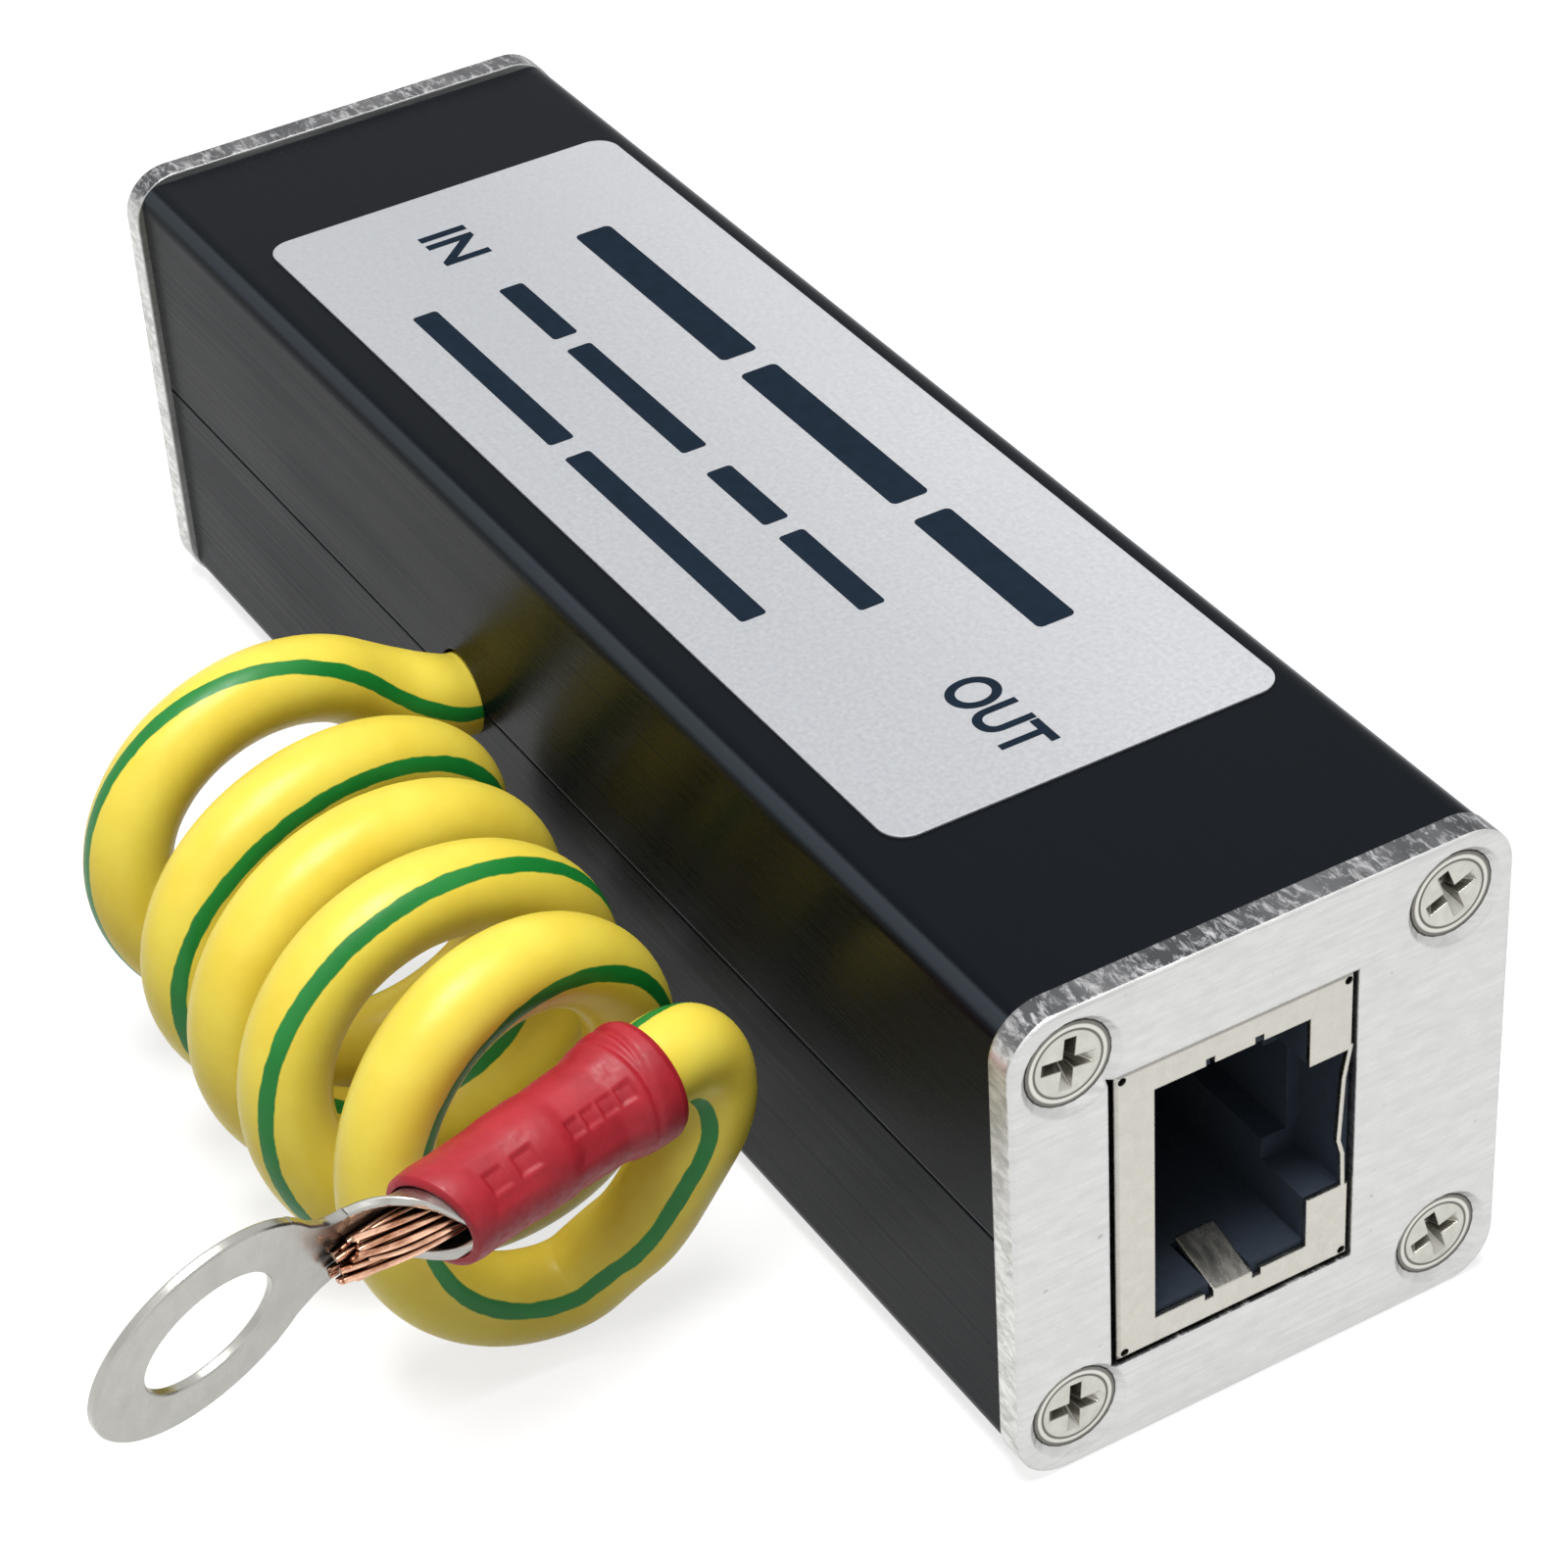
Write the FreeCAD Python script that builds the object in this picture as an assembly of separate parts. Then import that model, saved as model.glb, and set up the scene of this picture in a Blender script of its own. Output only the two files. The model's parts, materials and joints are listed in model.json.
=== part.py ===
import FreeCAD, Part
import math
import os

# Inline Ethernet surge protector: a square split case with a jack at each end and a coiled ground wire.
# Frame in mm: +X from the IN end to the OUT end, -Y is the side of the ground wire, +Z is the label side.
# The origin is the middle of the face that the housing rests on.

Vec = FreeCAD.Vector

# End plates
plate_overhang = 0.4
plate_thickness = 1.5
plate_corner_radius = 2.4
plate_edge_bevel = 0.15
cutout_clearance = 0.12
cutout_roof_gap = 0.42

# Case
case_length = 82.0
case_side = 24.2
case_wall = 1.4
case_corner_radius = 1.2
seam_gap = 0.12
tongue_thickness = 0.6
tongue_height = 0.9
tongue_clearance = 0.05
rib_width = 0.9
rib_height = 1.3

# End plate screws, countersunk, cross recess turned as each was left
screw_edge_distance = 3.0
screw_diameter = 2.5
screw_length = 8.0
screw_head_diameter = 4.15
screw_seat_gap = 0.05
screw_sides = 24
screw_turns = (-4.0, -7.0, 16.0, 22.0)
countersink_diameter = 4.9
screw_clearance = 0.05
boss_wall = 0.95
recess_span = 2.6
recess_width = 0.6
recess_depth = 0.9

# Circuit board
board_thickness = 1.6
board_end_gap = 0.5
board_edge_clearance = 0.1
board_slot_clearance = 0.1
part_gap = 0.3

# Jacks, lying on their side with the latch towards the board
jack_width = 15.7
jack_height = 11.95
jack_depth = 21.0
jack_offset_y = -1.45
jack_recess = 0.1
shield_thickness = 0.25
shield_fold = 0.15
shield_relief_diameter = 0.42
shield_relief_inset = 0.34
plug_width = 12.7
plug_height = 7.8
plug_depth = 13.5
plug_floor = 1.9
cavity_width = 12.2
latch_width = 7.5
latch_reach = 1.9
latch_neck_width = 5.2
latch_depth = 9.0
sill_width = 0.2
sill_curve = ((0.53, 0.12), (0.3, 0.45), (-0.15, 0.64), (-0.26, 0.42), (-0.53, 0.36))
inner_clearance = 0.05
spring_width = 2.0
spring_length = 2.9
spring_rise = 0.85
spring_offset = 0.1
spring_slot = 0.45
notch_depth = 0.35
peg_width = 1.2
peg_inset = 8.0
leg_reach = 1.0

# Jack contacts
contact_count = 8
contact_pitch = 1.02
contact_width = 0.4
contact_thickness = 0.3
contact_channel = 0.95
contact_front = 2.6
contact_back = 9.5
contact_lift = 2.0
contact_tail = 17.5
contact_row_step = 2.5
pin_hole_diameter = 0.9
pin_hole_sides = 6

# Gas discharge tubes
tube_diameter = 5.0
tube_sides = 16
tube_length = 7.6
tube_electrode = 0.9
tube_lead_diameter = 0.6
tube_stand = 0.5

# Surface parts on the board
chip_length = 3.2
chip_width = 1.6
chip_height = 0.6
chip_spacing = 0.8
bridge_length = 4.7
bridge_width = 4.0
bridge_height = 2.4
clamp_length = 4.9
clamp_width = 3.9
clamp_height = 1.5
lead_thickness = 0.25
lead_width = 0.4
lead_foot = 0.9

# Name label
label_length = 60.6
label_width = 20.0
label_thickness = 0.12
label_corner_radius = 1.3
label_offset_x = -1.1
label_offset_y = 0.6

# Ground wire: where it leaves, its section, and the coil's outer shape
wire_diameter = 4.2
wire_sides = 12
wire_hole_clearance = 0.05
wire_exit_x = -6.8
wire_inner_end = 1.5
core_diameter = 2.2
core_hole_clearance = 0.1
core_stickout = 1.0
solder_diameter = 4.6
solder_rim = 2.5
solder_height = 0.8
solder_sides = 16
coil_outer_radius = 9.9
coil_inner_radius = 5.6
coil_gap = 1.8
coil_lead_in = 1.9
coil_length = 30.7

# Ring terminal for an M6 stud, its insulating sleeve and the bare strands
ring_hole_diameter = 6.5
ring_outer_diameter = 11.7
terminal_thickness = 0.8
neck_width = 4.2
cheek_length = 2.0
cheek_thickness = 0.5
barrel_outer_diameter = 4.1
barrel_bore_diameter = 2.3
barrel_length = 6.2
barrel_lip = 0.5
barrel_to_ring = 10.6
sleeve_length = 13.1
sleeve_diameter = 5.1
sleeve_fit = 0.05
sleeve_sides = 24
flare_length = 2.2
flare_rise = 0.35
crimp_length = 2.4
crimp_width = 2.6
crimp_depth = 0.3
crimp_places = (2.6, 7.6)
strand_diameter = 0.42
strand_sides = 6
strand_length = 5.2
strand_core_diameter = 2.1
ring_from_coil = Vec(6.95, -18.27, 14.49)
terminal_axis = Vec(0.238, -0.971, -0.007)
terminal_face = Vec(0.922, 0.228, -0.313)

# Worked out from the sizes above
plate_side = case_side + 2 * plate_overhang
screw_pitch = plate_side - 2 * screw_edge_distance
screw_head_drop = (countersink_diameter - screw_head_diameter) / 2 - screw_seat_gap
mid_z = plate_side / 2
case_half = case_side / 2
inner_half = case_half - case_wall
rib_tip = inner_half - rib_height
plate_outer_x = case_length / 2 + plate_thickness
jack_front_x = plate_outer_x - jack_recess
jack_rear_x = jack_front_x - jack_depth
jack_roof_y = jack_offset_y - jack_height / 2
board_y = jack_offset_y + jack_height / 2
board_back_y = board_y + board_thickness
plug_low_y = jack_roof_y + plug_floor
plug_high_y = plug_low_y + plug_height
latch_y = plug_high_y + latch_reach
board_half = inner_half - board_edge_clearance
port_radius = screw_diameter / 2 + screw_clearance
boss_radius = port_radius + boss_wall
coil_centre_y = -(case_half + coil_gap + coil_outer_radius)
coil_start_x = wire_exit_x - coil_lead_in
coil_end_x = coil_start_x + coil_length
ring_centre = Vec(coil_end_x, coil_centre_y, 0) + ring_from_coil
sleeve_front = barrel_to_ring - barrel_lip
barrel_axis_lift = (barrel_outer_diameter - terminal_thickness) / 2


def box(x0, x1, y0, y1, z0, z1):
    """A block between two corners."""
    low = Vec(min(x0, x1), min(y0, y1), min(z0, z1))
    return Part.makeBox(abs(x1 - x0), abs(y1 - y0), abs(z1 - z0), low)


def rod(radius, start, end):
    """A round bar from one point to another."""
    line = end - start
    return Part.makeCylinder(radius, line.Length, start, line)


def rounded_bar(x0, x1, width, height, radius, centre_y=0.0, centre_z=None):
    """A bar along X with rounded long edges."""
    middle = mid_z if centre_z is None else centre_z
    bar = box(x0, x1, centre_y - width / 2, centre_y + width / 2, middle - height / 2, middle + height / 2)
    long_edges = [e for e in bar.Edges if abs(e.tangentAt(e.FirstParameter).x) > 0.99]
    return bar.makeFillet(radius, long_edges)


def polygon_prism(points, push):
    """A closed outline pushed along a vector."""
    face = Part.Face(Part.makePolygon(points + points[:1]))
    return face.extrude(push)


def regular_corners(radius, centre, way, sides):
    """The corners of a regular polygon on a circle round a direction."""
    seed = Vec(0, 0, 1) if abs(way.z) < 0.9 * way.Length else Vec(1, 0, 0)
    across = way.cross(seed).normalize()
    up = way.cross(across).normalize()
    turns = [2 * math.pi * (i + 0.5) / sides for i in range(sides)]
    return [centre + across * (radius * math.cos(a)) + up * (radius * math.sin(a)) for a in turns]


def faceted_rod(radius, start, end, sides):
    """A bar with flat flanks, its corners on the circle of the radius."""
    line = end - start
    return polygon_prism(regular_corners(radius, start, line, sides), line)


def frustum(low, high):
    """A flat-sided solid between two outlines with the same number of corners."""
    rings = [low, high]
    for i in range(len(low)):
        rings.append([low[i - 1], low[i], high[i], high[i - 1]])
    faces = [Part.Face(Part.makePolygon(ring + ring[:1])) for ring in rings]
    solid = Part.makeSolid(Part.makeShell(faces))
    return solid if solid.Volume > 0 else solid.reversed()


def faceted_cone(start_radius, end_radius, start, end, sides):
    """A cone with flat flanks."""
    way = end - start
    return frustum(regular_corners(start_radius, start, way, sides), regular_corners(end_radius, end, way, sides))


def bent_strip(points, thickness, low_z, width):
    """A thin strip that follows points in the XY plane, with mitred bends."""
    left, right = [], []
    for i, p in enumerate(points):
        before = (p - points[i - 1]).normalize() if i else None
        after = (points[i + 1] - p).normalize() if i < len(points) - 1 else None
        ends = [d for d in (before, after) if d]
        normals = [Vec(-d.y, d.x, 0) for d in ends]
        mean = sum(normals, Vec()).normalize()
        reach = thickness / 2 / mean.dot(normals[0])
        left.append(p + mean * reach)
        right.append(p - mean * reach)
    outline = [Vec(p.x, p.y, low_z) for p in left + right[::-1]]
    return polygon_prism(outline, Vec(0, 0, width))


def fused(shapes):
    """One solid from shapes that overlap or share faces."""
    return shapes[0].multiFuse(shapes[1:]).removeSplitter()


def at_in_end(shape):
    """The same piece turned half round the Y axis, to the IN end."""
    turned = shape.copy()
    turned.rotate(Vec(0, 0, mid_z), Vec(0, 1, 0), 180)
    return turned


def screw_places():
    """(y, z) of the four screws of an end plate."""
    half = screw_pitch / 2
    return [(y, mid_z + z) for y in (-half, half) for z in (-half, half)]


def export(name, shape):
    """Writes one node."""
    shape.exportStep("parts/" + name + ".step")


def case_section():
    """The whole case as one extrusion, before it is split at the seam."""
    x0, x1 = -case_length / 2, case_length / 2
    outer = rounded_bar(x0, x1, case_side, case_side, case_corner_radius)
    inner = box(x0, x1, -inner_half, inner_half, mid_z - inner_half, mid_z + inner_half)
    added = []
    for y, z in screw_places():
        boss = rod(boss_radius, Vec(x0, y, z), Vec(x1, y, z))
        added.append(boss.common(outer))
    slot_low = board_y - board_slot_clearance
    slot_high = board_back_y + board_slot_clearance
    for y in (slot_low - rib_width, slot_high):
        for side in (-1, 1):
            z_wall = mid_z + side * (inner_half + case_wall / 2)
            added.append(box(x0, x1, y, y + rib_width, z_wall, mid_z + side * rib_tip))
    section = fused([outer.cut(inner)] + added)
    ports = [rod(port_radius, Vec(x0, y, z), Vec(x1, y, z)) for y, z in screw_places()]
    return section.cut(Part.makeCompound(ports))


def seam_strips(grow):
    """The long tongues on the inner side of both walls, larger by grow on their flanks."""
    strips = []
    for side in (-1, 1):
        y0 = side * (inner_half - case_wall / 2 * (grow > 0))
        y1 = side * (inner_half + tongue_thickness + grow)
        strips.append(box(-case_length / 2, case_length / 2, y0, y1, mid_z - tongue_height, mid_z + seam_gap))
    return strips


def wire_hole():
    """The round hole for the ground wire, on the seam of the -Y wall."""
    radius = wire_diameter / 2 + wire_hole_clearance
    return rod(radius, Vec(wire_exit_x, -case_side, mid_z), Vec(wire_exit_x, -inner_half + case_wall, mid_z))


def case_upper_half():
    """The half under the label, with the tongues of the seam."""
    cover = box(-case_length, case_length, -case_side, case_side, mid_z + seam_gap / 2, case_side * 2)
    half = fused([case_section().common(cover)] + seam_strips(0.0))
    return half.cut(wire_hole())


def case_lower_half():
    """The half that rests, with the grooves of the seam."""
    cover = box(-case_length, case_length, -case_side, case_side, -case_side, mid_z - seam_gap / 2)
    half = case_section().common(cover)
    grooves = seam_strips(tongue_clearance)
    return half.cut(Part.makeCompound(grooves + [wire_hole()]))


def end_plate():
    """The OUT end plate: the jack's cut-out and four countersunk holes."""
    x0, x1 = case_length / 2, plate_outer_x
    plate = rounded_bar(x0, x1, plate_side, plate_side, plate_corner_radius)
    rim = [e for e in plate.Edges if abs(e.CenterOfMass.x - x1) < 1e-6]
    plate = plate.makeChamfer(plate_edge_bevel, rim)
    half_z = jack_width / 2 + cutout_clearance
    y0, y1 = jack_roof_y - cutout_roof_gap, board_y + cutout_clearance
    cuts = [box(x0 - 1, x1 + 1, y0, y1, mid_z - half_z, mid_z + half_z)]
    for y, z in screw_places():
        floor, mouth_r = Vec(x1 - (countersink_diameter / 2 - port_radius), y, z), countersink_diameter / 2
        cuts.append(faceted_rod(port_radius, Vec(x0 - 1, y, z), Vec(x1, y, z), screw_sides))
        cuts.append(faceted_cone(port_radius, mouth_r, floor, Vec(x1, y, z), screw_sides))
    return plate.cut(Part.makeCompound(cuts))


def screw(y, z, turn):
    """A countersunk screw with a cross recess, driven in along -X."""
    head_r, shank_r = screw_head_diameter / 2, screw_diameter / 2
    top = plate_outer_x - screw_head_drop
    neck = top - (head_r - shank_r)
    head = faceted_cone(shank_r, head_r, Vec(neck, y, z), Vec(top, y, z), screw_sides)
    shank = faceted_rod(shank_r, Vec(top - screw_length, y, z), Vec(neck, y, z), screw_sides)
    recess = []
    for along_y in (True, False):
        dy = recess_span / 2 if along_y else recess_width / 2
        dz = recess_width / 2 if along_y else recess_span / 2
        mouth = [Vec(top + 0.01, y + a * dy, z + b * dz) for a, b in ((-1, -1), (1, -1), (1, 1), (-1, 1))]
        floor = [Vec(top - recess_depth, y + (p.y - y) * 0.35, z + (p.z - z) * 0.35) for p in mouth]
        recess.append(frustum(floor, mouth))
    cross = fused(recess)
    cross.rotate(Vec(top, y, z), Vec(1, 0, 0), turn)
    return fused([head, shank]).cut(cross)


def plate_screws():
    """The four screws of the OUT end plate."""
    return Part.makeCompound([screw(y, z, turn) for (y, z), turn in zip(screw_places(), screw_turns)])


def spring_slots():
    """The notches beside both spring tabs, and the room for the tabs in the plug opening."""
    middle = (plug_low_y + plug_high_y) / 2 + spring_offset
    half = spring_width / 2
    slots = []
    for side in (-1, 1):
        z0 = mid_z + side * (plug_width / 2 - notch_depth)
        z1 = mid_z + side * (plug_width / 2 + notch_depth)
        for y in (middle - half - spring_slot, middle + half):
            slots.append(box(jack_front_x - 1, jack_front_x + 1, y, y + spring_slot, z0, z1))
    return slots


def spring_tabs():
    """A sheet tab at each side of the plug opening, bent inwards to press on the plug's shield."""
    middle = (plug_low_y + plug_high_y) / 2 + spring_offset
    tabs = []
    for side in (-1, 1):
        root = plug_width / 2
        outline = [
            (jack_front_x, root), (jack_front_x - spring_length, root - spring_rise),
            (jack_front_x - spring_length, root - spring_rise + shield_thickness),
            (jack_front_x - shield_thickness, root + shield_thickness), (jack_front_x, root + shield_thickness),
        ]
        points = [Vec(x, middle - spring_width / 2, mid_z + side * z) for x, z in outline]
        tabs.append(polygon_prism(points, Vec(0, spring_width, 0)))
    return tabs


def latch_sill():
    """The narrow edge of the shield's lower sheet where it crosses the latch notch, bowed inwards."""
    line = [(mid_z + share * latch_width, board_y - drop) for share, drop in sill_curve]
    outer = [Vec(jack_front_x, y + sill_width / 2, z) for z, y in line]
    inner = [Vec(jack_front_x, y - sill_width / 2, z) for z, y in line[::-1]]
    return polygon_prism(outer + inner, Vec(-shield_thickness, 0, 0))


def jack_shield():
    """The folded metal shield: roof, two sides, rear and a front frame with the plug opening."""
    s = shield_thickness
    half = jack_width / 2
    outer = box(jack_rear_x, jack_front_x, jack_roof_y, board_y, mid_z - half, mid_z + half)
    outer = outer.makeChamfer(shield_fold, [e for e in outer.Edges if e.CenterOfMass.x > jack_front_x - 1e-6])
    room = box(jack_rear_x + s, jack_front_x - s, jack_roof_y + s, board_y + 1, mid_z - half + s, mid_z + half - s)
    shell = outer.cut(room)
    front0, front1 = jack_front_x - s - 0.1, jack_front_x + 1
    half_plug, half_latch = plug_width / 2, latch_width / 2
    plug = box(front0, front1, plug_low_y, plug_high_y, mid_z - half_plug, mid_z + half_plug)
    latch = box(front0, front1, plug_high_y - 0.1, board_y + 1, mid_z - half_latch, mid_z + half_latch)
    reliefs = []
    for y in (jack_roof_y + shield_relief_inset, board_y - shield_relief_inset):
        for z in (mid_z - half + shield_relief_inset, mid_z + half - shield_relief_inset):
            reliefs.append(faceted_rod(shield_relief_diameter / 2, Vec(front0, y, z), Vec(front1, y, z), 8))
    shell = shell.cut(Part.makeCompound([plug, latch] + reliefs + spring_slots()))
    added = spring_tabs() + [latch_sill()]
    for side in (-1, 1):
        z0, z1 = mid_z + side * (half - s), mid_z + side * half
        x = jack_front_x - peg_inset
        added.append(box(x - peg_width, x, board_y - 1, board_back_y + leg_reach, z0, z1))
    return fused([shell] + added)


def jack_housing():
    """The plastic block in the shield: plug cavity, latch channel and the channel for the contacts."""
    s = shield_thickness + inner_clearance
    half = jack_width / 2 - s
    front = jack_front_x - s
    block = box(jack_rear_x + s, front, jack_roof_y + s, board_y, mid_z - half, mid_z + half)
    half_plug, half_latch, half_neck = cavity_width / 2, latch_width / 2, latch_neck_width / 2
    floor = front - plug_depth
    cuts = [
        box(floor, front + 1, plug_low_y, plug_high_y, mid_z - half_plug, mid_z + half_plug),
        box(front - latch_depth, front + 1, plug_high_y - 0.1, latch_y - 0.6, mid_z - half_neck, mid_z + half_neck),
        box(front - latch_depth / 3, front + 1, plug_high_y - 0.1, latch_y, mid_z - half_latch, mid_z + half_latch),
    ]
    middle = (plug_low_y + plug_high_y) / 2 + spring_offset
    reach = spring_width / 2 + inner_clearance
    lift = plug_width / 2 + shield_thickness + inner_clearance
    cuts.append(box(front - spring_length, front + 1, middle - reach, middle + reach, mid_z - lift, mid_z + lift))
    comb = contact_count * contact_pitch / 2
    back = jack_front_x - contact_tail - 1.5
    cuts.append(box(back, front - 1.2, plug_low_y - contact_channel, plug_low_y + 0.1, mid_z - comb, mid_z + comb))
    cuts.append(box(back, back + 3.4, plug_low_y - contact_channel, board_y + 1, mid_z - comb, mid_z + comb))
    return block.cut(Part.makeCompound(cuts))


def contact_tail_x(index):
    """Contacts leave through the board in two staggered rows."""
    return jack_front_x - contact_tail + (contact_row_step / 2) * (index % 2)


def contact_z(index):
    """Height of a contact's middle."""
    return mid_z + (index - (contact_count - 1) / 2) * contact_pitch


def jack_contacts():
    """The spring contacts: up through the board, along the floor of the cavity and bent back over it."""
    run_y = plug_low_y - contact_channel / 2
    wires = []
    for i in range(contact_count):
        tail_x = contact_tail_x(i)
        points = [
            Vec(tail_x, board_back_y + leg_reach, 0), Vec(tail_x, run_y, 0),
            Vec(jack_front_x - contact_front, run_y, 0),
            Vec(jack_front_x - contact_back, plug_low_y + contact_lift, 0),
        ]
        low_z = contact_z(i) - contact_width / 2
        wires.append(bent_strip(points, contact_thickness, low_z, contact_width))
    return Part.makeCompound(wires)


def board_columns():
    """Middle x of each column of parts on the board, evenly spaced between the rears of the two jacks."""
    widths = {
        "tubes_in": tube_diameter, "chips_in": chip_width, "bridges_in": bridge_length,
        "bridges_out": bridge_length, "clamps": clamp_length, "chips_out": chip_width, "tubes_out": tube_diameter,
    }
    gap = (2 * jack_rear_x - sum(widths.values())) / (len(widths) + 1)
    middles, x = {}, -jack_rear_x
    for name, width in widths.items():
        middles[name] = x + gap + width / 2
        x += gap + width
    return middles


def row_z(half):
    """How far from mid-height a part of the outer rows stands, half being half of its own height."""
    return rib_tip - part_gap - half


def tube_places():
    """(x, z) of the middle of each gas discharge tube."""
    columns, row = board_columns(), row_z(tube_length / 2)
    return [(columns[name], mid_z + z) for name in ("tubes_in", "tubes_out") for z in (-row, row)]


def tube_lead_steps():
    """Where the three leads of a tube stand, along its length."""
    end = tube_length / 2 - tube_electrode / 2
    return (-end, 0.0, end)


def gas_tube_axis_y():
    """Height of the tubes' axes over the board."""
    return board_y - tube_stand - tube_diameter / 2


def tube_disc(x, low, high):
    """A length of a tube, between two heights."""
    y = gas_tube_axis_y()
    return faceted_rod(tube_diameter / 2, Vec(x, y, low), Vec(x, y, high), tube_sides)


def gas_tube_ceramics():
    """The two ceramic rings of each three-electrode tube."""
    span = (tube_length - 3 * tube_electrode) / 2
    rings = []
    for x, z in tube_places():
        for low in (z - tube_electrode / 2 - span, z + tube_electrode / 2):
            rings.append(tube_disc(x, low, low + span))
    return Part.makeCompound(rings)


def gas_tube_electrodes():
    """The end and middle electrodes of the tubes, each with its lead through the board."""
    y = gas_tube_axis_y()
    electrodes = []
    for x, z in tube_places():
        for step in tube_lead_steps():
            middle = z + step
            disc = tube_disc(x, middle - tube_electrode / 2, middle + tube_electrode / 2)
            foot = Vec(x, board_back_y + leg_reach, middle)
            electrodes.append(fused([disc, faceted_rod(tube_lead_diameter / 2, Vec(x, y, middle), foot, 4)]))
    return Part.makeCompound(electrodes)


def leaded_package(x, z, length, width, height, feet):
    """A moulded package on the board, with flat leads out of its two long sides."""
    top, base = board_y - height, board_y - lead_thickness / 2
    pieces = [box(x - length / 2, x + length / 2, top, base, z - width / 2, z + width / 2)]
    step = length / feet
    reach = width / 2 + lead_foot
    for i in range(feet):
        middle = x - length / 2 + step * (i + 0.5)
        low, high = middle - lead_width / 2, middle + lead_width / 2
        pieces.append(box(low, high, board_y - lead_thickness, board_y, z - reach, z + reach))
    return fused(pieces)


def bridge_rectifiers():
    """Four small bridges, one for each wire pair."""
    columns, row = board_columns(), row_z(bridge_width / 2 + lead_foot)
    places = [(columns[name], mid_z + z) for name in ("bridges_in", "bridges_out") for z in (-row, row)]
    return Part.makeCompound([leaded_package(x, z, bridge_length, bridge_width, bridge_height, 2) for x, z in places])


def clamp_diodes():
    """Two clamping diode arrays."""
    x, row = board_columns()["clamps"], row_z(clamp_width / 2 + lead_foot)
    places = [(x, mid_z + z) for z in (-row, row)]
    return Part.makeCompound([leaded_package(x, z, clamp_length, clamp_width, clamp_height, 4) for x, z in places])


def line_resistors():
    """Chip resistors in series with the lines."""
    columns, row = board_columns(), row_z(chip_length / 2)
    inner_row = row - chip_length - chip_spacing
    chips = []
    for name in ("chips_in", "chips_out"):
        x = columns[name]
        for z in (-row, -inner_row, inner_row, row):
            low_z = mid_z + z - chip_length / 2
            chips.append(box(x - chip_width / 2, x + chip_width / 2, board_y - chip_height, board_y, low_z, low_z + chip_length))
    return Part.makeCompound(chips)


def circuit_board():
    """The board, held on edge between the ribs of both case halves, drilled for what passes through it."""
    end = case_length / 2 - board_end_gap
    low_y, high_y = board_y - 1, board_back_y + 1
    board = box(-end, end, board_y, board_back_y, mid_z - board_half, mid_z + board_half)
    pins = []
    for i in range(contact_count):
        pins += [(contact_tail_x(i), contact_z(i)), (-contact_tail_x(i), 2 * mid_z - contact_z(i))]
    for x, z in tube_places():
        pins += [(x, z + step) for step in tube_lead_steps()]
    cuts = [faceted_rod(pin_hole_diameter / 2, Vec(x, low_y, z), Vec(x, high_y, z), pin_hole_sides) for x, z in pins]
    core_hole = core_diameter / 2 + core_hole_clearance
    cuts.append(rod(core_hole, Vec(wire_exit_x, low_y, mid_z), Vec(wire_exit_x, high_y, mid_z)))
    gap = board_slot_clearance
    for side in (-1, 1):
        for end_side in (-1, 1):
            x = end_side * (jack_front_x - peg_inset - peg_width / 2)
            z0 = mid_z + side * (jack_width / 2 - shield_thickness - gap)
            z1 = mid_z + side * (jack_width / 2 + gap)
            half = peg_width / 2 + gap
            cuts.append(box(x - half, x + half, low_y, high_y, z0, z1))
    return board.cut(Part.makeCompound(cuts))


def name_label():
    """The foil label on top of the case."""
    bar = box(
        label_offset_x - label_length / 2, label_offset_x + label_length / 2,
        label_offset_y - label_width / 2, label_offset_y + label_width / 2,
        mid_z + case_half, mid_z + case_half + label_thickness,
    )
    corners = [e for e in bar.Edges if abs(e.tangentAt(e.FirstParameter).z) > 0.99]
    return bar.makeFillet(label_corner_radius, corners)


def ground_wire_coil():
    """The outer shape of the wound part of the ground wire."""
    start = Vec(coil_start_x, coil_centre_y, coil_outer_radius)
    end = Vec(coil_end_x, coil_centre_y, coil_outer_radius)
    return rod(coil_outer_radius, start, end).cut(rod(coil_inner_radius, start, end))


def ground_wire_lead():
    """The straight stretch from inside the case, through the wall, to the coil."""
    start = Vec(wire_exit_x, wire_inner_end, mid_z)
    end = Vec(wire_exit_x, coil_centre_y + coil_inner_radius, mid_z)
    return rod(wire_diameter / 2, start, end).cut(ground_wire_coil())


def ground_wire_core():
    """The bare end of the wire, through the board."""
    start = Vec(wire_exit_x, wire_inner_end, mid_z)
    return rod(core_diameter / 2, start, Vec(wire_exit_x, board_back_y + core_stickout, mid_z))


def ground_solder_joint():
    """The ring of solder round the core on the back of the board."""
    foot, top = Vec(wire_exit_x, board_back_y, mid_z), Vec(wire_exit_x, board_back_y + solder_height, mid_z)
    cone = faceted_cone(solder_diameter / 2, solder_rim / 2, foot, top, solder_sides)
    return cone.cut(ground_wire_core())


def terminal_frame():
    """Local X runs from the sleeve to the ring, local Z is the tongue's face with the barrel on it."""
    x_axis = Vec(terminal_axis).normalize()
    y_axis = terminal_face.cross(x_axis).normalize()
    z_axis = x_axis.cross(y_axis)
    m = FreeCAD.Matrix(
        x_axis.x, y_axis.x, z_axis.x, ring_centre.x,
        x_axis.y, y_axis.y, z_axis.y, ring_centre.y,
        x_axis.z, y_axis.z, z_axis.z, ring_centre.z,
        0, 0, 0, 1,
    )
    return FreeCAD.Placement(m)


def in_place(local_shape):
    """A piece of the terminal, moved from its own frame to where it lies."""
    placed = local_shape.copy()
    placed.Placement = terminal_frame().multiply(placed.Placement)
    return placed


def terminal_point(x, y, z):
    """A point of the terminal's own frame, in the object's frame."""
    return terminal_frame().multVec(Vec(x, y, z))


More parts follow.
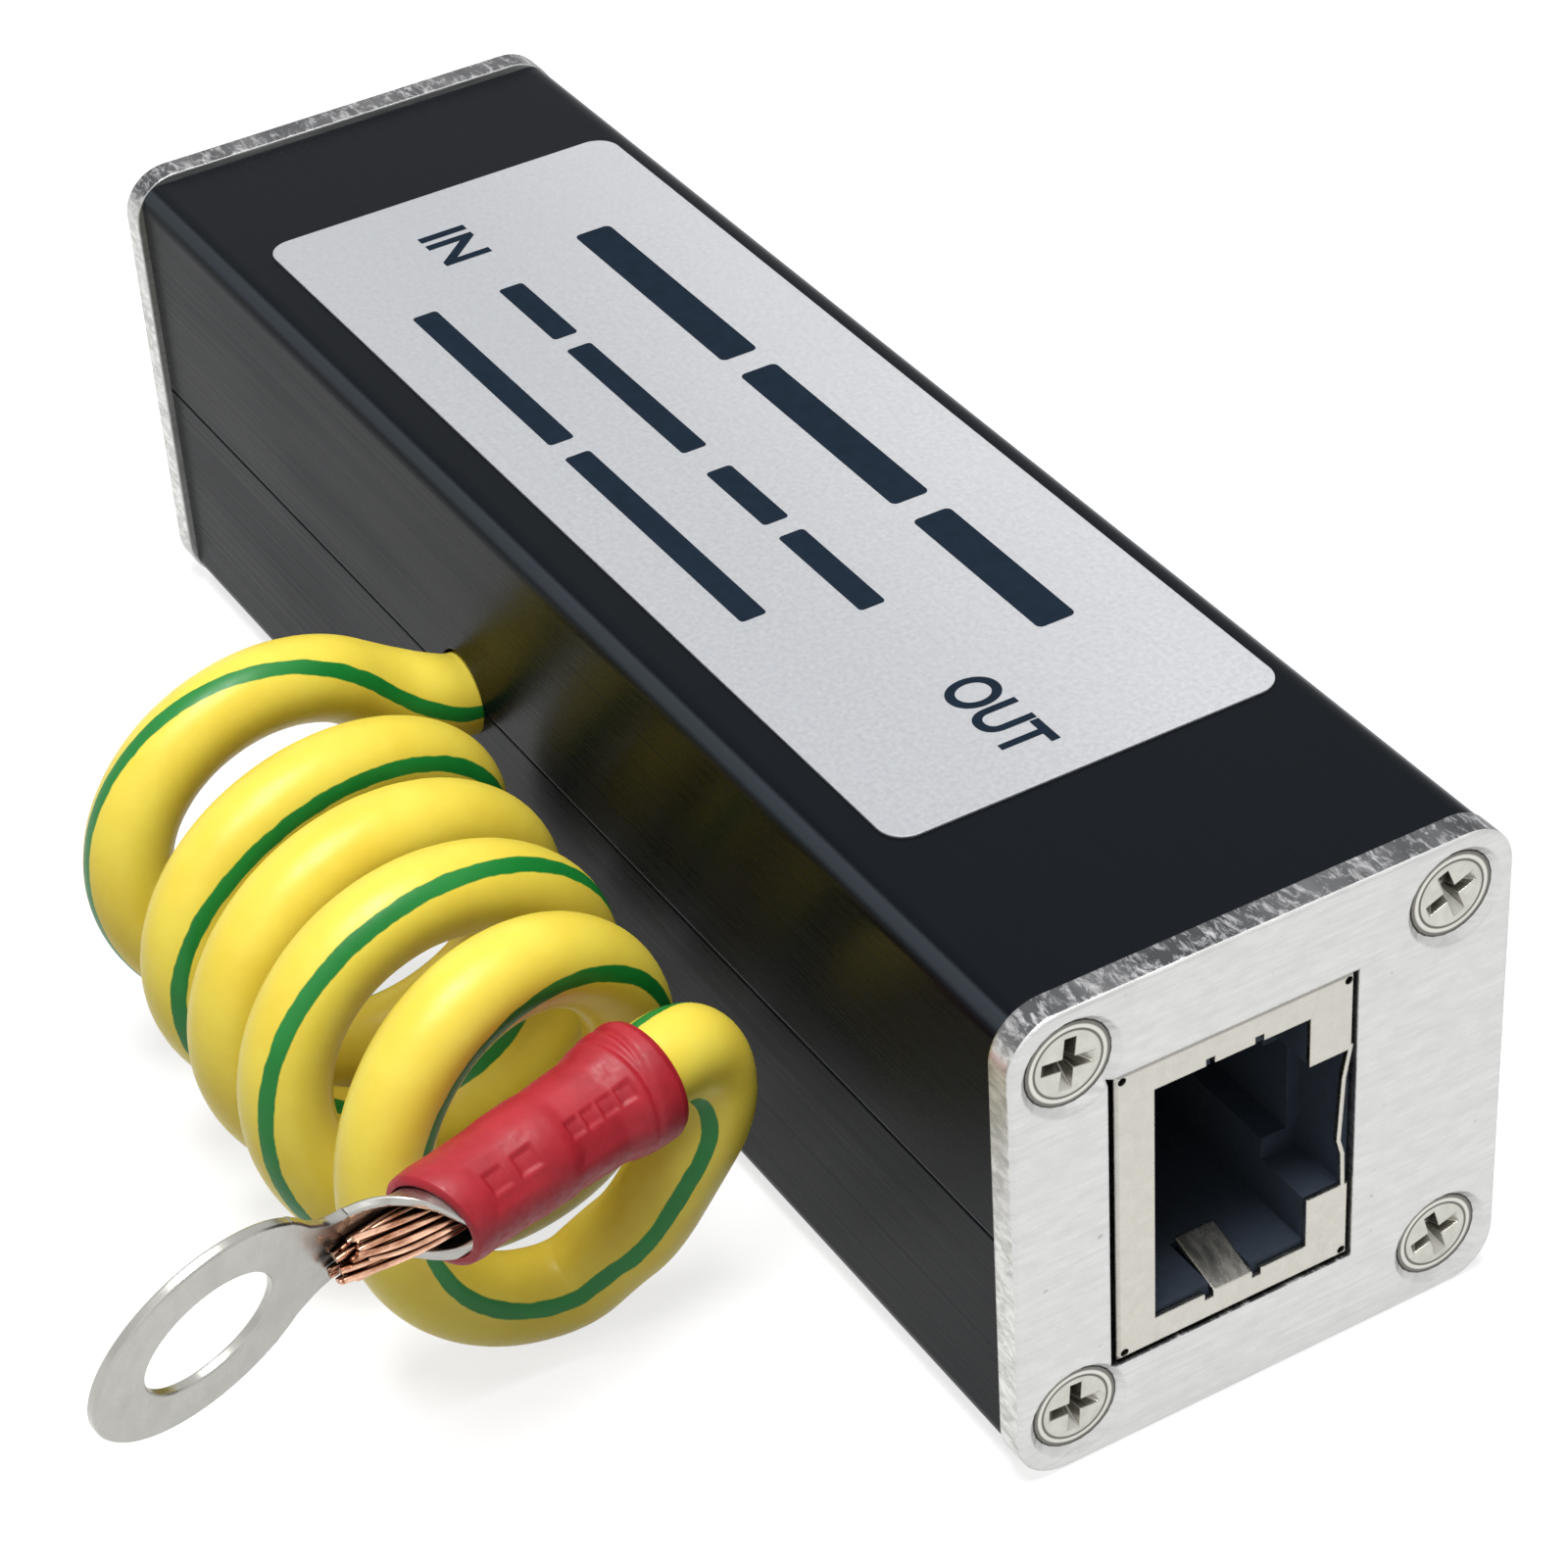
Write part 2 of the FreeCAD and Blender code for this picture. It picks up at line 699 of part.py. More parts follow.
def tongue_cheeks():
    """The two edges of the tongue that curl up into the barrel."""
    start = -sleeve_front
    top = barrel_axis_lift + barrel_bore_diameter / 4
    profile = [(start, 0.0), (start, top), (start + cheek_length, 0.0)]
    cheeks = []
    for side in (-1, 1):
        y = side * (neck_width / 2 - cheek_thickness / 2) - cheek_thickness / 2
        cheeks.append(polygon_prism([Vec(x, y, z) for x, z in profile], Vec(0, cheek_thickness, 0)))
    return cheeks


def ring_terminal():
    """Ring, tapering tongue and rolled barrel, made of one strip."""
    t = terminal_thickness
    ring_r = ring_outer_diameter / 2
    disc = Part.makeCylinder(ring_r, t, Vec(0, 0, -t / 2))
    tongue_start = -barrel_to_ring
    touch = math.radians(50)
    hip = Vec(-ring_r * math.cos(touch), ring_r * math.sin(touch), -t / 2)
    half = neck_width / 2
    neck_x = tongue_start + barrel_lip + strand_length * 0.45
    up = [Vec(tongue_start, half, -t / 2), Vec(neck_x, half, -t / 2)]
    curve_mid = Vec((neck_x + hip.x) / 2, (half + hip.y) / 2 - 0.45, -t / 2)
    down = [Vec(p.x, -p.y, p.z) for p in up]
    mirrored_mid, mirrored_hip = Vec(curve_mid.x, -curve_mid.y, curve_mid.z), Vec(hip.x, -hip.y, hip.z)
    wire = Part.Wire([
        Part.LineSegment(up[0], up[1]).toShape(), Part.Arc(up[1], curve_mid, hip).toShape(),
        Part.LineSegment(hip, mirrored_hip).toShape(), Part.Arc(mirrored_hip, mirrored_mid, down[1]).toShape(),
        Part.LineSegment(down[1], down[0]).toShape(), Part.LineSegment(down[0], up[0]).toShape(),
    ])
    tongue = Part.Face(wire).extrude(Vec(0, 0, t))
    hole = Part.makeCylinder(ring_hole_diameter / 2, 3 * t, Vec(0, 0, -1.5 * t))
    axis_z = barrel_axis_lift
    start, end = Vec(tongue_start - barrel_length, 0, axis_z), Vec(tongue_start + barrel_lip, 0, axis_z)
    barrel = rod(barrel_outer_diameter / 2, start, end)
    bore = rod(barrel_bore_diameter / 2, start - Vec(1, 0, 0), end + Vec(1, 0, 0))
    flat = fused([disc, tongue]).cut(hole)
    return in_place(fused([flat, barrel] + tongue_cheeks()).cut(bore))


def terminal_sleeve():
    """The red insulating sleeve over the barrel and the end of the wire, with its crimp marks."""
    axis_z = barrel_axis_lift
    front = -sleeve_front
    back = front - sleeve_length
    rear, waist = Vec(back, 0, axis_z), Vec(back + flare_length, 0, axis_z)
    outer, inner = sleeve_diameter / 2, wire_diameter / 2 + sleeve_fit
    body = faceted_rod(outer, rear, Vec(front, 0, axis_z), sleeve_sides)
    funnel = faceted_cone(outer + flare_rise, outer, rear, waist, sleeve_sides)
    bore = faceted_rod(inner, Vec(back - 1, 0, axis_z), Vec(front + 1, 0, axis_z), sleeve_sides)
    mouth = faceted_cone(inner + flare_rise, inner, rear, waist, sleeve_sides)
    tongue_half = neck_width / 2 + sleeve_fit
    tongue_room = box(-barrel_to_ring - sleeve_fit, front + 1, -tongue_half, tongue_half, -terminal_thickness, terminal_thickness / 2)
    cuts = [bore, mouth, tongue_room]
    for place in crimp_places:
        for side in (-1, 1):
            z0 = axis_z + side * (sleeve_diameter / 2 - crimp_depth)
            z1 = axis_z + side * sleeve_diameter
            x = front - place
            cuts.append(box(x - crimp_length / 2, x + crimp_length / 2, -crimp_width / 2, crimp_width / 2, z0, z1))
    return in_place(fused([body, funnel]).cut(Part.makeCompound(cuts)))


def strand_rings():
    """(radius, how many, turn) of the rings of strands round the middle one."""
    return ((0.0, 1, 0.0), (0.46, 6, 0.0), (0.84, 8, 0.2))


def copper_strands():
    """The wire's copper: bound in the barrel, loose where it comes out over the tongue."""
    axis_z = barrel_axis_lift
    mouth = -barrel_to_ring + barrel_lip
    start = Vec(-barrel_to_ring - barrel_length, 0, axis_z)
    pieces = [faceted_rod(strand_core_diameter / 2, start, Vec(mouth, 0, axis_z), 2 * strand_sides)]
    for ring, count, turn in strand_rings():
        for i in range(count):
            angle = 2 * math.pi * i / count + turn
            y, z = ring * math.cos(angle), ring * math.sin(angle)
            length = strand_length * (1 - 0.12 * ((i * 3) % 4))
            end_z = max(z * 1.25, -0.9)
            foot, tip = Vec(mouth - 0.2, y, axis_z + z), Vec(mouth + length, y * 1.7 - 0.25, axis_z + end_z)
            pieces.append(faceted_rod(strand_diameter / 2, foot, tip, strand_sides))
    return in_place(fused(pieces))


def tail_route():
    """The wire from the coil's last turn, up beside the case and back into the sleeve."""
    bend_x = -sleeve_front - sleeve_length - 3.0
    inside_x = -barrel_to_ring - barrel_length
    low_z = wire_diameter / 2 + 0.05
    return [
        Vec(coil_end_x - 0.4, coil_centre_y + 0.2, low_z),
        Vec(coil_end_x + 1.2, coil_centre_y + 4.5, low_z),
        Vec(coil_end_x + 2.3, coil_centre_y + 7.6, low_z + 3.1),
        terminal_point(bend_x, 0, barrel_axis_lift),
        terminal_point(inside_x, 0, barrel_axis_lift),
    ]


def routed_tube(points, radius, sides, name):
    """A faceted tube along straight runs joined by tangent arcs, each as large as its two runs allow."""
    edges, start, length = [], points[0], 0.0
    for before, corner, after in zip(points, points[1:], points[2:]):
        run_in, run_out = corner - before, after - corner
        turn = run_in.getAngle(run_out)
        cut = 0.45 * min(run_in.Length, run_out.Length)
        arc_radius = cut / math.tan(turn / 2)
        way_in, way_out = Vec(run_in).normalize(), Vec(run_out).normalize()
        a, b = corner - way_in * cut, corner + way_out * cut
        inward = (way_out - way_in).normalize()
        middle = corner + inward * (arc_radius / math.cos(turn / 2) - arc_radius)
        edges.append(Part.LineSegment(start, a).toShape())
        edges.append(Part.Arc(a, middle, b).toShape())
        length += (a - start).Length + arc_radius * turn
        start = b
        print(name, "bend radius", round(arc_radius, 2), "turn", round(math.degrees(turn), 1))
    edges.append(Part.LineSegment(start, points[-1]).toShape())
    length += (points[-1] - start).Length
    path = Part.Wire(edges)
    corners = regular_corners(radius, points[0], points[1] - points[0], sides)
    tube = path.makePipeShell([Part.makePolygon(corners + corners[:1])], True, False)
    expected = sides / 2 * math.sin(2 * math.pi / sides) * radius ** 2 * length
    print(name, "length", round(length, 2), "volume", round(tube.Volume, 2), "expected", round(expected, 2))
    return tube


def ground_wire_tail():
    """The stretch from the coil to the sleeve."""
    return routed_tube(tail_route(), wire_diameter / 2, wire_sides, "tail").cut(ground_wire_coil())


def build():
    """Every node by name."""
    plate, screws = end_plate(), plate_screws()
    shield, housing, contacts = jack_shield(), jack_housing(), jack_contacts()
    return {
        "case_upper_half": case_upper_half(),
        "case_lower_half": case_lower_half(),
        "end_plate_out": plate,
        "end_plate_in": at_in_end(plate),
        "plate_screws_out": screws,
        "plate_screws_in": at_in_end(screws),
        "jack_shield_out": shield,
        "jack_shield_in": at_in_end(shield),
        "jack_housing_out": housing,
        "jack_housing_in": at_in_end(housing),
        "jack_contacts_out": contacts,
        "jack_contacts_in": at_in_end(contacts),
        "circuit_board": circuit_board(),
        "gas_tube_ceramics": gas_tube_ceramics(),
        "gas_tube_electrodes": gas_tube_electrodes(),
        "bridge_rectifiers": bridge_rectifiers(),
        "clamp_diodes": clamp_diodes(),
        "line_resistors": line_resistors(),
        "name_label": name_label(),
        "ground_wire_core": ground_wire_core(),
        "ground_solder_joint": ground_solder_joint(),
        "ground_wire_lead": ground_wire_lead(),
        "ground_wire_coil": ground_wire_coil(),
        "ground_wire_tail": ground_wire_tail(),
        "terminal_sleeve": terminal_sleeve(),
        "ring_terminal": ring_terminal(),
        "copper_strands": copper_strands(),
    }


os.makedirs("parts", exist_ok=True)
for node, solid in build().items():
    export(node, solid)
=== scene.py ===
"""Dresses the inline surge protector: ground wire, crimped terminal, print, materials and light."""
import json
import math
import random

import bpy
from mathutils import Matrix, Vector


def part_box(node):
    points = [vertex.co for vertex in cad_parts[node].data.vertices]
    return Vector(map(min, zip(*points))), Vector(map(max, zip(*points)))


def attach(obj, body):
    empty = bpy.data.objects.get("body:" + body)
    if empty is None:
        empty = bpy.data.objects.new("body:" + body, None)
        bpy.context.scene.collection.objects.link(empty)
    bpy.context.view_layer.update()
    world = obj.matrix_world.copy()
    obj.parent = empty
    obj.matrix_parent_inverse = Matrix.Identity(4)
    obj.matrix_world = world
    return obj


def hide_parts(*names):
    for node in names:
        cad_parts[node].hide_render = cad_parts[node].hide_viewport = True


MM = 0.001

# Camera: where it stands, what it looks at, its roll and its lens (sensor 36 mm wide)
CAMERA_PLACE = Vector((152.475, -81.548, 134.887)) * MM
CAMERA_AIM = Vector((3.367, -0.281, 7.976)) * MM
CAMERA_ROLL = math.radians(-3.856)
CAMERA_LENS = 100.21

# Ground wire, in mm on the floor's frame: out of the case, through the turns, and back into the sleeve
WIRE_RADIUS = 2.1
WIRE_SIDES = 40
WIRE_EXIT = ((-6.8, 1.5, 12.5), (-6.8, -6.0, 12.4), (-6.8, -12.2, 12.2), (-6.85, -13.8, 12.75))
WIRE_TAIL = (
    (23.5, -21.5, 4.0), (24.1, -20.1, 5.2), (24.15, -18.05, 7.85),
    (24.2, -16.3, 10.2), (24.05, -16.25, 12.8), (24.5, -17.75, 14.5),
)
# At the top of each turn: place along the coil, centre (y, z), radius along y and z, and lean
TURNS = (
    (-6.56, -23.07, 10.32, 7.79, 6.66, -0.37),
    (0.69, -23.29, 9.82, 8.19, 6.51, 0.34),
    (6.76, -23.68, 9.73, 8.01, 7.10, 0.28),
    (12.50, -24.10, 9.82, 8.07, 7.58, -0.23),
    (19.56, -23.84, 9.91, 7.24, 7.76, 0.69),
    (25.65, -23.73, 10.06, 7.59, 7.83, -0.01),
)
TURN_POINTS = 12
TURN_START = -1.0 / (2 * math.pi)
TURN_END = 4.52
# The spline runs a little inside its control points
SPLINE_GROWTH = 1 / 0.975
SPLINE_STEPS = 14
COIL_AXIS = Vector((0, -23.7, 9.9))

# Where the green stripe lies round the wire: (turn, degrees from the coil's outer side)
STRIPE_PATH = (
    (-0.20, -90), (-0.08, -56), (0.0, -25), (0.10, 20), (0.22, 0), (0.83, -54), (0.94, -72), (1.12, -84),
    (1.22, -70), (1.30, -28), (2.05, -120), (2.84, -198), (2.96, -224), (3.10, -234), (3.30, -211),
    (3.82, -225), (3.92, -256), (4.01, -288), (4.16, -314), (4.27, -279), (4.46, -294), (4.64, -288),
    (4.80, -295), (4.85, -335),
)
STRIPE_HALF_WIDTH = 10.5
# The stripe's place is averaged over this many points to each side
STRIPE_SMOOTHING = 26

# Terminal, in mm: its way from the sleeve to the ring, the ring, and the sheet with its rounded edge
TERMINAL_WAY = Vector((0.238, -0.971, -0.007))
RING_HOLE = 3.25
RING_RADIUS = 5.85
SHEET = 0.5
SHEET_EDGE = 0.09
RING_STEPS = 720
# Tongue beside the ring: place along the terminal and half width
TONGUE_SIDE = ((-7.0, 2.12), (-6.2, 2.3), (-5.2, 2.95), (-4.4, 3.75), (-3.76, 4.48))
FULL_CURL = 3.12
BARREL_STATIONS = 70
BARREL_ACROSS = 36
# From the tongue to the rolled barrel: place, half width of the sheet, and how far each half curls (radians)
BARREL_STRIP = (
    (-7.0, 2.12, 0.0), (-7.8, 2.08, 0.15), (-8.6, 2.12, 0.5), (-9.3, 2.32, 1.0), (-9.9, 2.75, 1.5),
    (-10.5, 3.45, 2.05), (-11.1, 4.3, 2.55), (-11.7, 5.0, 2.95), (-12.3, 5.2, FULL_CURL),
    (-16.8, 5.2, FULL_CURL),
)

# The wire's last two points, along the terminal, inside the sleeve
WIRE_END = (-20.8, -16.3)

# Sleeve on the barrel: its own measures, then the radius at each distance from its mouth
BARREL_LIFT = 1.6
SLEEVE_FRONT = -9.95
SLEEVE_LENGTH = 12.6
MOUTH_TILT = 1.1
SLEEVE_WALL = 0.3
SLEEVE_BORE = 1.95
# The rolled lip at the mouth, and the least that stays outside the wire under a pressed mark
SLEEVE_LIP = 0.13
SLEEVE_LEAST = 0.03
SLEEVE_ROWS = 180
SLEEVE_INNER_ROWS = 8
SLEEVE_SIDES = 150
SLEEVE_PROFILE = (
    (0.0, 2.14), (0.18, 2.36), (1.0, 2.42), (2.2, 2.36), (3.8, 2.34), (5.2, 2.46), (6.2, 2.47),
    (7.2, 2.38), (9.4, 2.40), (10.3, 2.62), (11.2, 2.80), (12.25, 2.86), (12.6, 2.72),
)
# The crimping tool's flats: the way they face, and the distance, half length and share that each squashes
CRIMP_FACING = math.radians(154)
SQUASHES = ((9.2, 2.4, 0.05), (3.4, 1.6, 0.03))
# Distance, half length, half angle and depth: two broad flats, then the small squares of the tool
CRIMPS = (
    (3.6, 2.1, 0.60, 0.05), (8.7, 2.3, 0.85, 0.07),
    (2.8, 0.66, 0.25, 0.13), (4.5, 0.66, 0.25, 0.13),
    (7.3, 0.45, 0.20, 0.12), (8.25, 0.45, 0.20, 0.12), (9.2, 0.45, 0.20, 0.12), (10.15, 0.45, 0.20, 0.12),
)
# Distance, angle, half length and depth
CREASES = ((10.75, 1.2, 0.2, 0.18), (11.45, 3.1, 0.16, 0.16))

# Copper strands over the tongue: radius and count of each ring, and how far they start inside the barrel
STRAND_RADIUS = 0.165
STRAND_RINGS = ((0.0, 1), (0.36, 6), (0.70, 11), (1.02, 16))
STRAND_REACH = 4.2
STRAND_INSIDE = 1.6
STRAND_SIDES = 10
STRAND_STEPS = 22

# Print on the label, in mm: plain bars as start x, end x, middle y and height
PRINT_LIFT = 0.012
BAR_ROUNDING = 0.16
PRINT_BARS = (
    (-23.0, -8.0, 5.1, 2.0), (-6.4, 7.6, 5.1, 2.0), (9.2, 19.7, 5.1, 2.0),
    (-20.5, -14.6, -0.95, 1.35), (-13.4, -1.9, -0.95, 1.35),
    (0.2, 5.6, -0.95, 1.35), (6.8, 14.0, -0.95, 1.35),
    (-20.6, -6.2, -5.75, 1.35), (-4.8, 11.7, -5.75, 1.35),
)
# The marks at the two ends: word, x range and y range
MARK_WEIGHT = 0.022
PRINT_MARKS = (("IN", (-27.5, -24.2), (-2.6, 0.0)), ("OUT", (21.0, 27.0), (-2.2, 0.4)))

# Screws, in metres: height of their square's middle, its side, and each painted ring's start and colour: dark
# rings of painted shade and a bright ring of painted highlight
SCREW_MIDDLE = 0.0125
SCREW_PITCH = 0.019
SCREW_PAINTED_RINGS = (
    ((0.00154, 0.00161), (0.13, 0.125, 0.11)),
    ((0.00166, 0.00173), (0.60, 0.59, 0.54)),
    ((0.00183, 0.00192), (0.16, 0.155, 0.14)),
)

# Stage, in metres: the lamps as name, place, power and size, and the floor
LAMPS = (("key", (0.06, -0.03, 0.59), 4.5, 0.30), ("fill", (0.30, -0.45, 0.40), 0.45, 0.45))
WORLD_STRENGTH = 0.19
FLOOR_HALF = 4.0
FLOOR_DROP = 0.00002
# The floor's own glow rises from near the part to far away, where no lamp reaches
FLOOR_GLOW = (0.75, 1.0)
FLOOR_GLOW_REACH = (0.1, 0.4)


def between(rows, t):
    """Catmull-Rom interpolation of number rows at whole steps."""
    last = len(rows) - 1
    i = min(max(int(math.floor(t)), 0), last - 1)
    f = t - i

    def row(k):
        if k < 0:
            return [2 * a - b for a, b in zip(rows[0], rows[1])]
        if k > last:
            return [2 * a - b for a, b in zip(rows[last], rows[last - 1])]
        return rows[k]

    def blend(a, b, c, d):
        square, cube = 2 * a - 5 * b + 4 * c - d, 3 * b - a - 3 * c + d
        return 0.5 * (2 * b + (c - a) * f + square * f ** 2 + cube * f ** 3)

    return [blend(*values) for values in zip(row(i - 1), row(i), row(i + 1), row(i + 2))]


def through(knots, x):
    """Smooth interpolation through (x, value) knots that never overshoots them, flat beyond the ends."""
    last = len(knots) - 1

    def rise(k):
        return (knots[k + 1][1] - knots[k][1]) / (knots[k + 1][0] - knots[k][0])

    def slope(k):
        if k in (0, last) or rise(k - 1) * rise(k) <= 0:
            return 0.0
        return 2 * rise(k - 1) * rise(k) / (rise(k - 1) + rise(k))

    if x <= knots[0][0]:
        return knots[0][1]
    for k in range(last):
        (x0, v0), (x1, v1) = knots[k], knots[k + 1]
        if x <= x1:
            f, step = (x - x0) / (x1 - x0), x1 - x0
            return (
                v0 * (1 + 2 * f) * (1 - f) ** 2 + v1 * f ** 2 * (3 - 2 * f)
                + step * slope(k) * f * (1 - f) ** 2 - step * slope(k + 1) * f ** 2 * (1 - f)
            )
    return knots[-1][1]


# Pieces of mesh


def add_piece(name, verts, faces, material, uvs=None, smooth=True):
    """A mesh object that rides on the part."""
    mesh = bpy.data.meshes.new(name)
    mesh.from_pydata([tuple(v) for v in verts], [], faces)
    mesh.materials.append(material)
    if uvs:
        layer = mesh.uv_layers.new(name="UVMap")
        for poly, corners in zip(mesh.polygons, uvs):
            for loop, uv in zip(poly.loop_indices, corners):
                layer.data[loop].uv = uv
    mesh.polygons.foreach_set("use_smooth", [smooth] * len(mesh.polygons))
    obj = bpy.data.objects.new(name, mesh)
    bpy.context.scene.collection.objects.link(obj)
    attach(obj, "root")
    return obj


def loft(rings, closed_ends=False, flip=False):
    """Faces between rings of equal length, with (ring, step) for each corner."""
    count = len(rings[0])
    faces, corners = [], []
    for i in range(len(rings) - 1):
        for j in range(count):
            k = (j + 1) % count
            quad = [i * count + j, i * count + k, (i + 1) * count + k, (i + 1) * count + j]
            where = [(i, j), (i, j + 1), (i + 1, j + 1), (i + 1, j)]
            faces.append(quad[::-1] if flip else quad)
            corners.append(where[::-1] if flip else where)
    if closed_ends:
        first = list(range(count))
        final = [(len(rings) - 1) * count + j for j in range(count)]
        faces += [first if flip else first[::-1], final[::-1] if flip else final]
        corners += [[(0, 0)] * count, [(len(rings) - 1, 0)] * count]
    return faces, corners


def frames_along(points, first_up):
    """(point, way, side, up) at each point, turned as little as possible from one to the next."""
    rows, up = [], Vector(first_up)
    for i, p in enumerate(points):
        way = (points[min(i + 1, len(points) - 1)] - points[max(i - 1, 0)]).normalized()
        up = (up - way * up.dot(way)).normalized()
        rows.append((p, way, way.cross(up), up))
    return rows


# Ground wire


def turn_point(turn):
    """A point of the coil's centreline, in mm."""
    x, cy, cz, ry, rz, lean = between(TURNS, turn)
    a = 2 * math.pi * turn
    return (
        x + lean * math.sin(a),
        cy - SPLINE_GROWTH * ry * math.sin(a),
        cz + SPLINE_GROWTH * rz * math.cos(a),
    )


def wire_route():
    """The control points of the wire's spline, in mm."""
    steps = int((TURN_END - TURN_START) * TURN_POINTS) + 1
    turns = [turn_point(TURN_START + i / TURN_POINTS) for i in range(steps)]
    inside = [terminal_point(x, 0, BARREL_LIFT) for x in WIRE_END]
    return [*WIRE_EXIT, *turns, *WIRE_TAIL, *inside]


def spline_points(route):
    """The route's smooth centreline, read from a NURBS curve, in metres."""
    curve = bpy.data.curves.new("route", "CURVE")
    curve.dimensions = "3D"
    curve.resolution_u = SPLINE_STEPS
    spline = curve.splines.new("NURBS")
    spline.points.add(len(route) - 1)
    for point, place in zip(spline.points, route):
        point.co = (*(v * MM for v in place), 1)
    spline.order_u = 3
    spline.use_endpoint_u = True
    holder = bpy.data.objects.new("route", curve)
    mesh = bpy.data.meshes.new_from_object(holder)
    points = [v.co.copy() for v in mesh.vertices]
    bpy.data.meshes.remove(mesh)
    bpy.data.objects.remove(holder)
    bpy.data.curves.remove(curve)
    return points


def ground_wire(material):
    """The yellow wire with its two green stripes, from the board to inside the sleeve."""
    points = spline_points(wire_route())
    radius, axis = WIRE_RADIUS * MM, COIL_AXIS * MM
    rows = frames_along(points, (0, 0, 1))
    turn, last, twists, marks, length = 0.0, None, [], [], 0.0
    for i, (p, way, side, up) in enumerate(rows):
        out = p - axis
        out.x = 0
        angle = math.atan2(-out.y, out.z)
        if last is None:
            turn = angle / (2 * math.pi)
        else:
            turn += ((angle - last + math.pi) % (2 * math.pi) - math.pi) / (2 * math.pi)
            length += (p - points[i - 1]).length
        last = angle
        out = (out - way * out.dot(way)).normalized()
        twist = math.atan2(out.dot(side), out.dot(up)) + math.radians(through(STRIPE_PATH, turn))
        if twists:
            twist += 2 * math.pi * round((twists[-1] - twist) / (2 * math.pi))
        twists.append(twist)
        marks.append(length)
    rings = []
    for i, (p, way, side, up) in enumerate(rows):
        near = twists[max(0, i - STRIPE_SMOOTHING):i + STRIPE_SMOOTHING + 1]
        start = sum(near) / len(near)
        ways = [start + 2 * math.pi * j / WIRE_SIDES for j in range(WIRE_SIDES)]
        rings.append([p + radius * (math.cos(a) * up + math.sin(a) * side) for a in ways])
    faces, corners = loft(rings, closed_ends=True)
    uvs = [[(j / WIRE_SIDES, marks[i] / (10 * MM)) for i, j in quad] for quad in corners]
    wire = add_piece("ground_wire", [v for ring in rings for v in ring], faces, material, uvs)
    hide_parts("ground_wire_lead", "ground_wire_coil", "ground_wire_tail")
    return wire, points


# Terminal


def terminal_frame():
    """Local X runs from the sleeve to the ring, local Z is the tongue's face with the barrel on it."""
    hole = next(m for m in frame["record"]["mounts"] if m["name"] == "terminal_hole")
    x_axis = TERMINAL_WAY.normalized()
    y_axis = Vector(hole["axis"]).cross(x_axis).normalized()
    z_axis = x_axis.cross(y_axis)
    turn = Matrix((x_axis, y_axis, z_axis)).transposed().to_4x4()
    return Matrix.Translation(Vector(hole["pos_m"])) @ turn


def terminal_point(x, y, z):
    """A point of the terminal's frame in mm, on the floor's frame in mm."""
    return tuple(terminal_frame() @ (Vector((x, y, z)) * MM) / MM)


def ring_and_tongue():
    """For each angle, points from the hole round to the hole again, and whether they end the tongue."""
    half, edge = SHEET / 2, SHEET_EDGE
    rings, ends = [], []
    for step in range(RING_STEPS):
        a = 2 * math.pi * step / RING_STEPS
        reach, x = RING_RADIUS, 0
        while math.cos(a) < 0 and x > TONGUE_SIDE[0][0]:
            x = (reach + 0.01) * math.cos(a)
            if abs((reach + 0.01) * math.sin(a)) > through(TONGUE_SIDE, x):
                break
            reach += 0.01
        end = math.cos(a) < 0 and x <= TONGUE_SIDE[0][0]
        if end:
            reach = TONGUE_SIDE[0][0] / math.cos(a)
        outer = 0 if end else edge
        lower = [(RING_HOLE, edge - half), (RING_HOLE + edge, -half)]
        lower += [(reach - outer, -half), (reach, outer - half)]
        rows = lower + [(r, -z) for r, z in reversed(lower)]
        rings.append([Vector((r * math.cos(a), r * math.sin(a), z)) for r, z in rows])
        ends.append(end)
    return rings, ends


def barrel_strip():
    """Outlines of the sheet from the tongue to the end of the barrel, curled more and more."""
    half, edge = SHEET / 2, SHEET_EDGE
    rings = []
    for i in range(BARREL_STATIONS + 1):
        x, width, curl = between(BARREL_STRIP, (len(BARREL_STRIP) - 1) * i / BARREL_STATIONS)
        curl = min(max(curl, 0.0), FULL_CURL)

        def spot(along, lift):
            if curl < 0.02:
                return Vector((x, along, lift))
            bend = width / curl
            a = along / bend
            return Vector((x, (bend - lift) * math.sin(a), bend - (bend - lift) * math.cos(a)))

        flat = [(width - edge) * (2 * j / BARREL_ACROSS - 1) for j in range(BARREL_ACROSS + 1)]
        ring = [spot(v, -half) for v in flat] + [spot(width, edge - half), spot(width, half - edge)]
        ring += [spot(v, half) for v in reversed(flat)]
        ring += [spot(-width, half - edge), spot(-width, edge - half)]
        rings.append(ring)
    return rings


def terminal_sheet(material):
    """Ring, tapering tongue and rolled barrel, bent out of one strip."""
    place = terminal_frame()
    rings, ends = ring_and_tongue()
    verts, faces = [v for ring in rings for v in ring], []
    count, rows = len(rings), len(rings[0])
    for i in range(count):
        k = (i + 1) % count
        for j in range(rows):
            if j in (2, 3, 4) and ends[i] and ends[k]:
                continue
            m = (j + 1) % rows
            faces.append([i * rows + j, k * rows + j, k * rows + m, i * rows + m])
    strip = barrel_strip()
    around, final = len(strip[0]), len(strip) - 1
    more, _ = loft(strip, flip=True)
    more.append([final * around + j for j in range(around)])
    faces += [[v + len(verts) for v in face] for face in more]
    verts += [v for ring in strip for v in ring]
    terminal = add_piece("terminal", [place @ (v * MM) for v in verts], faces, material)
    terminal.data.set_sharp_from_angle(angle=math.radians(40))
    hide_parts("ring_terminal")
    return terminal


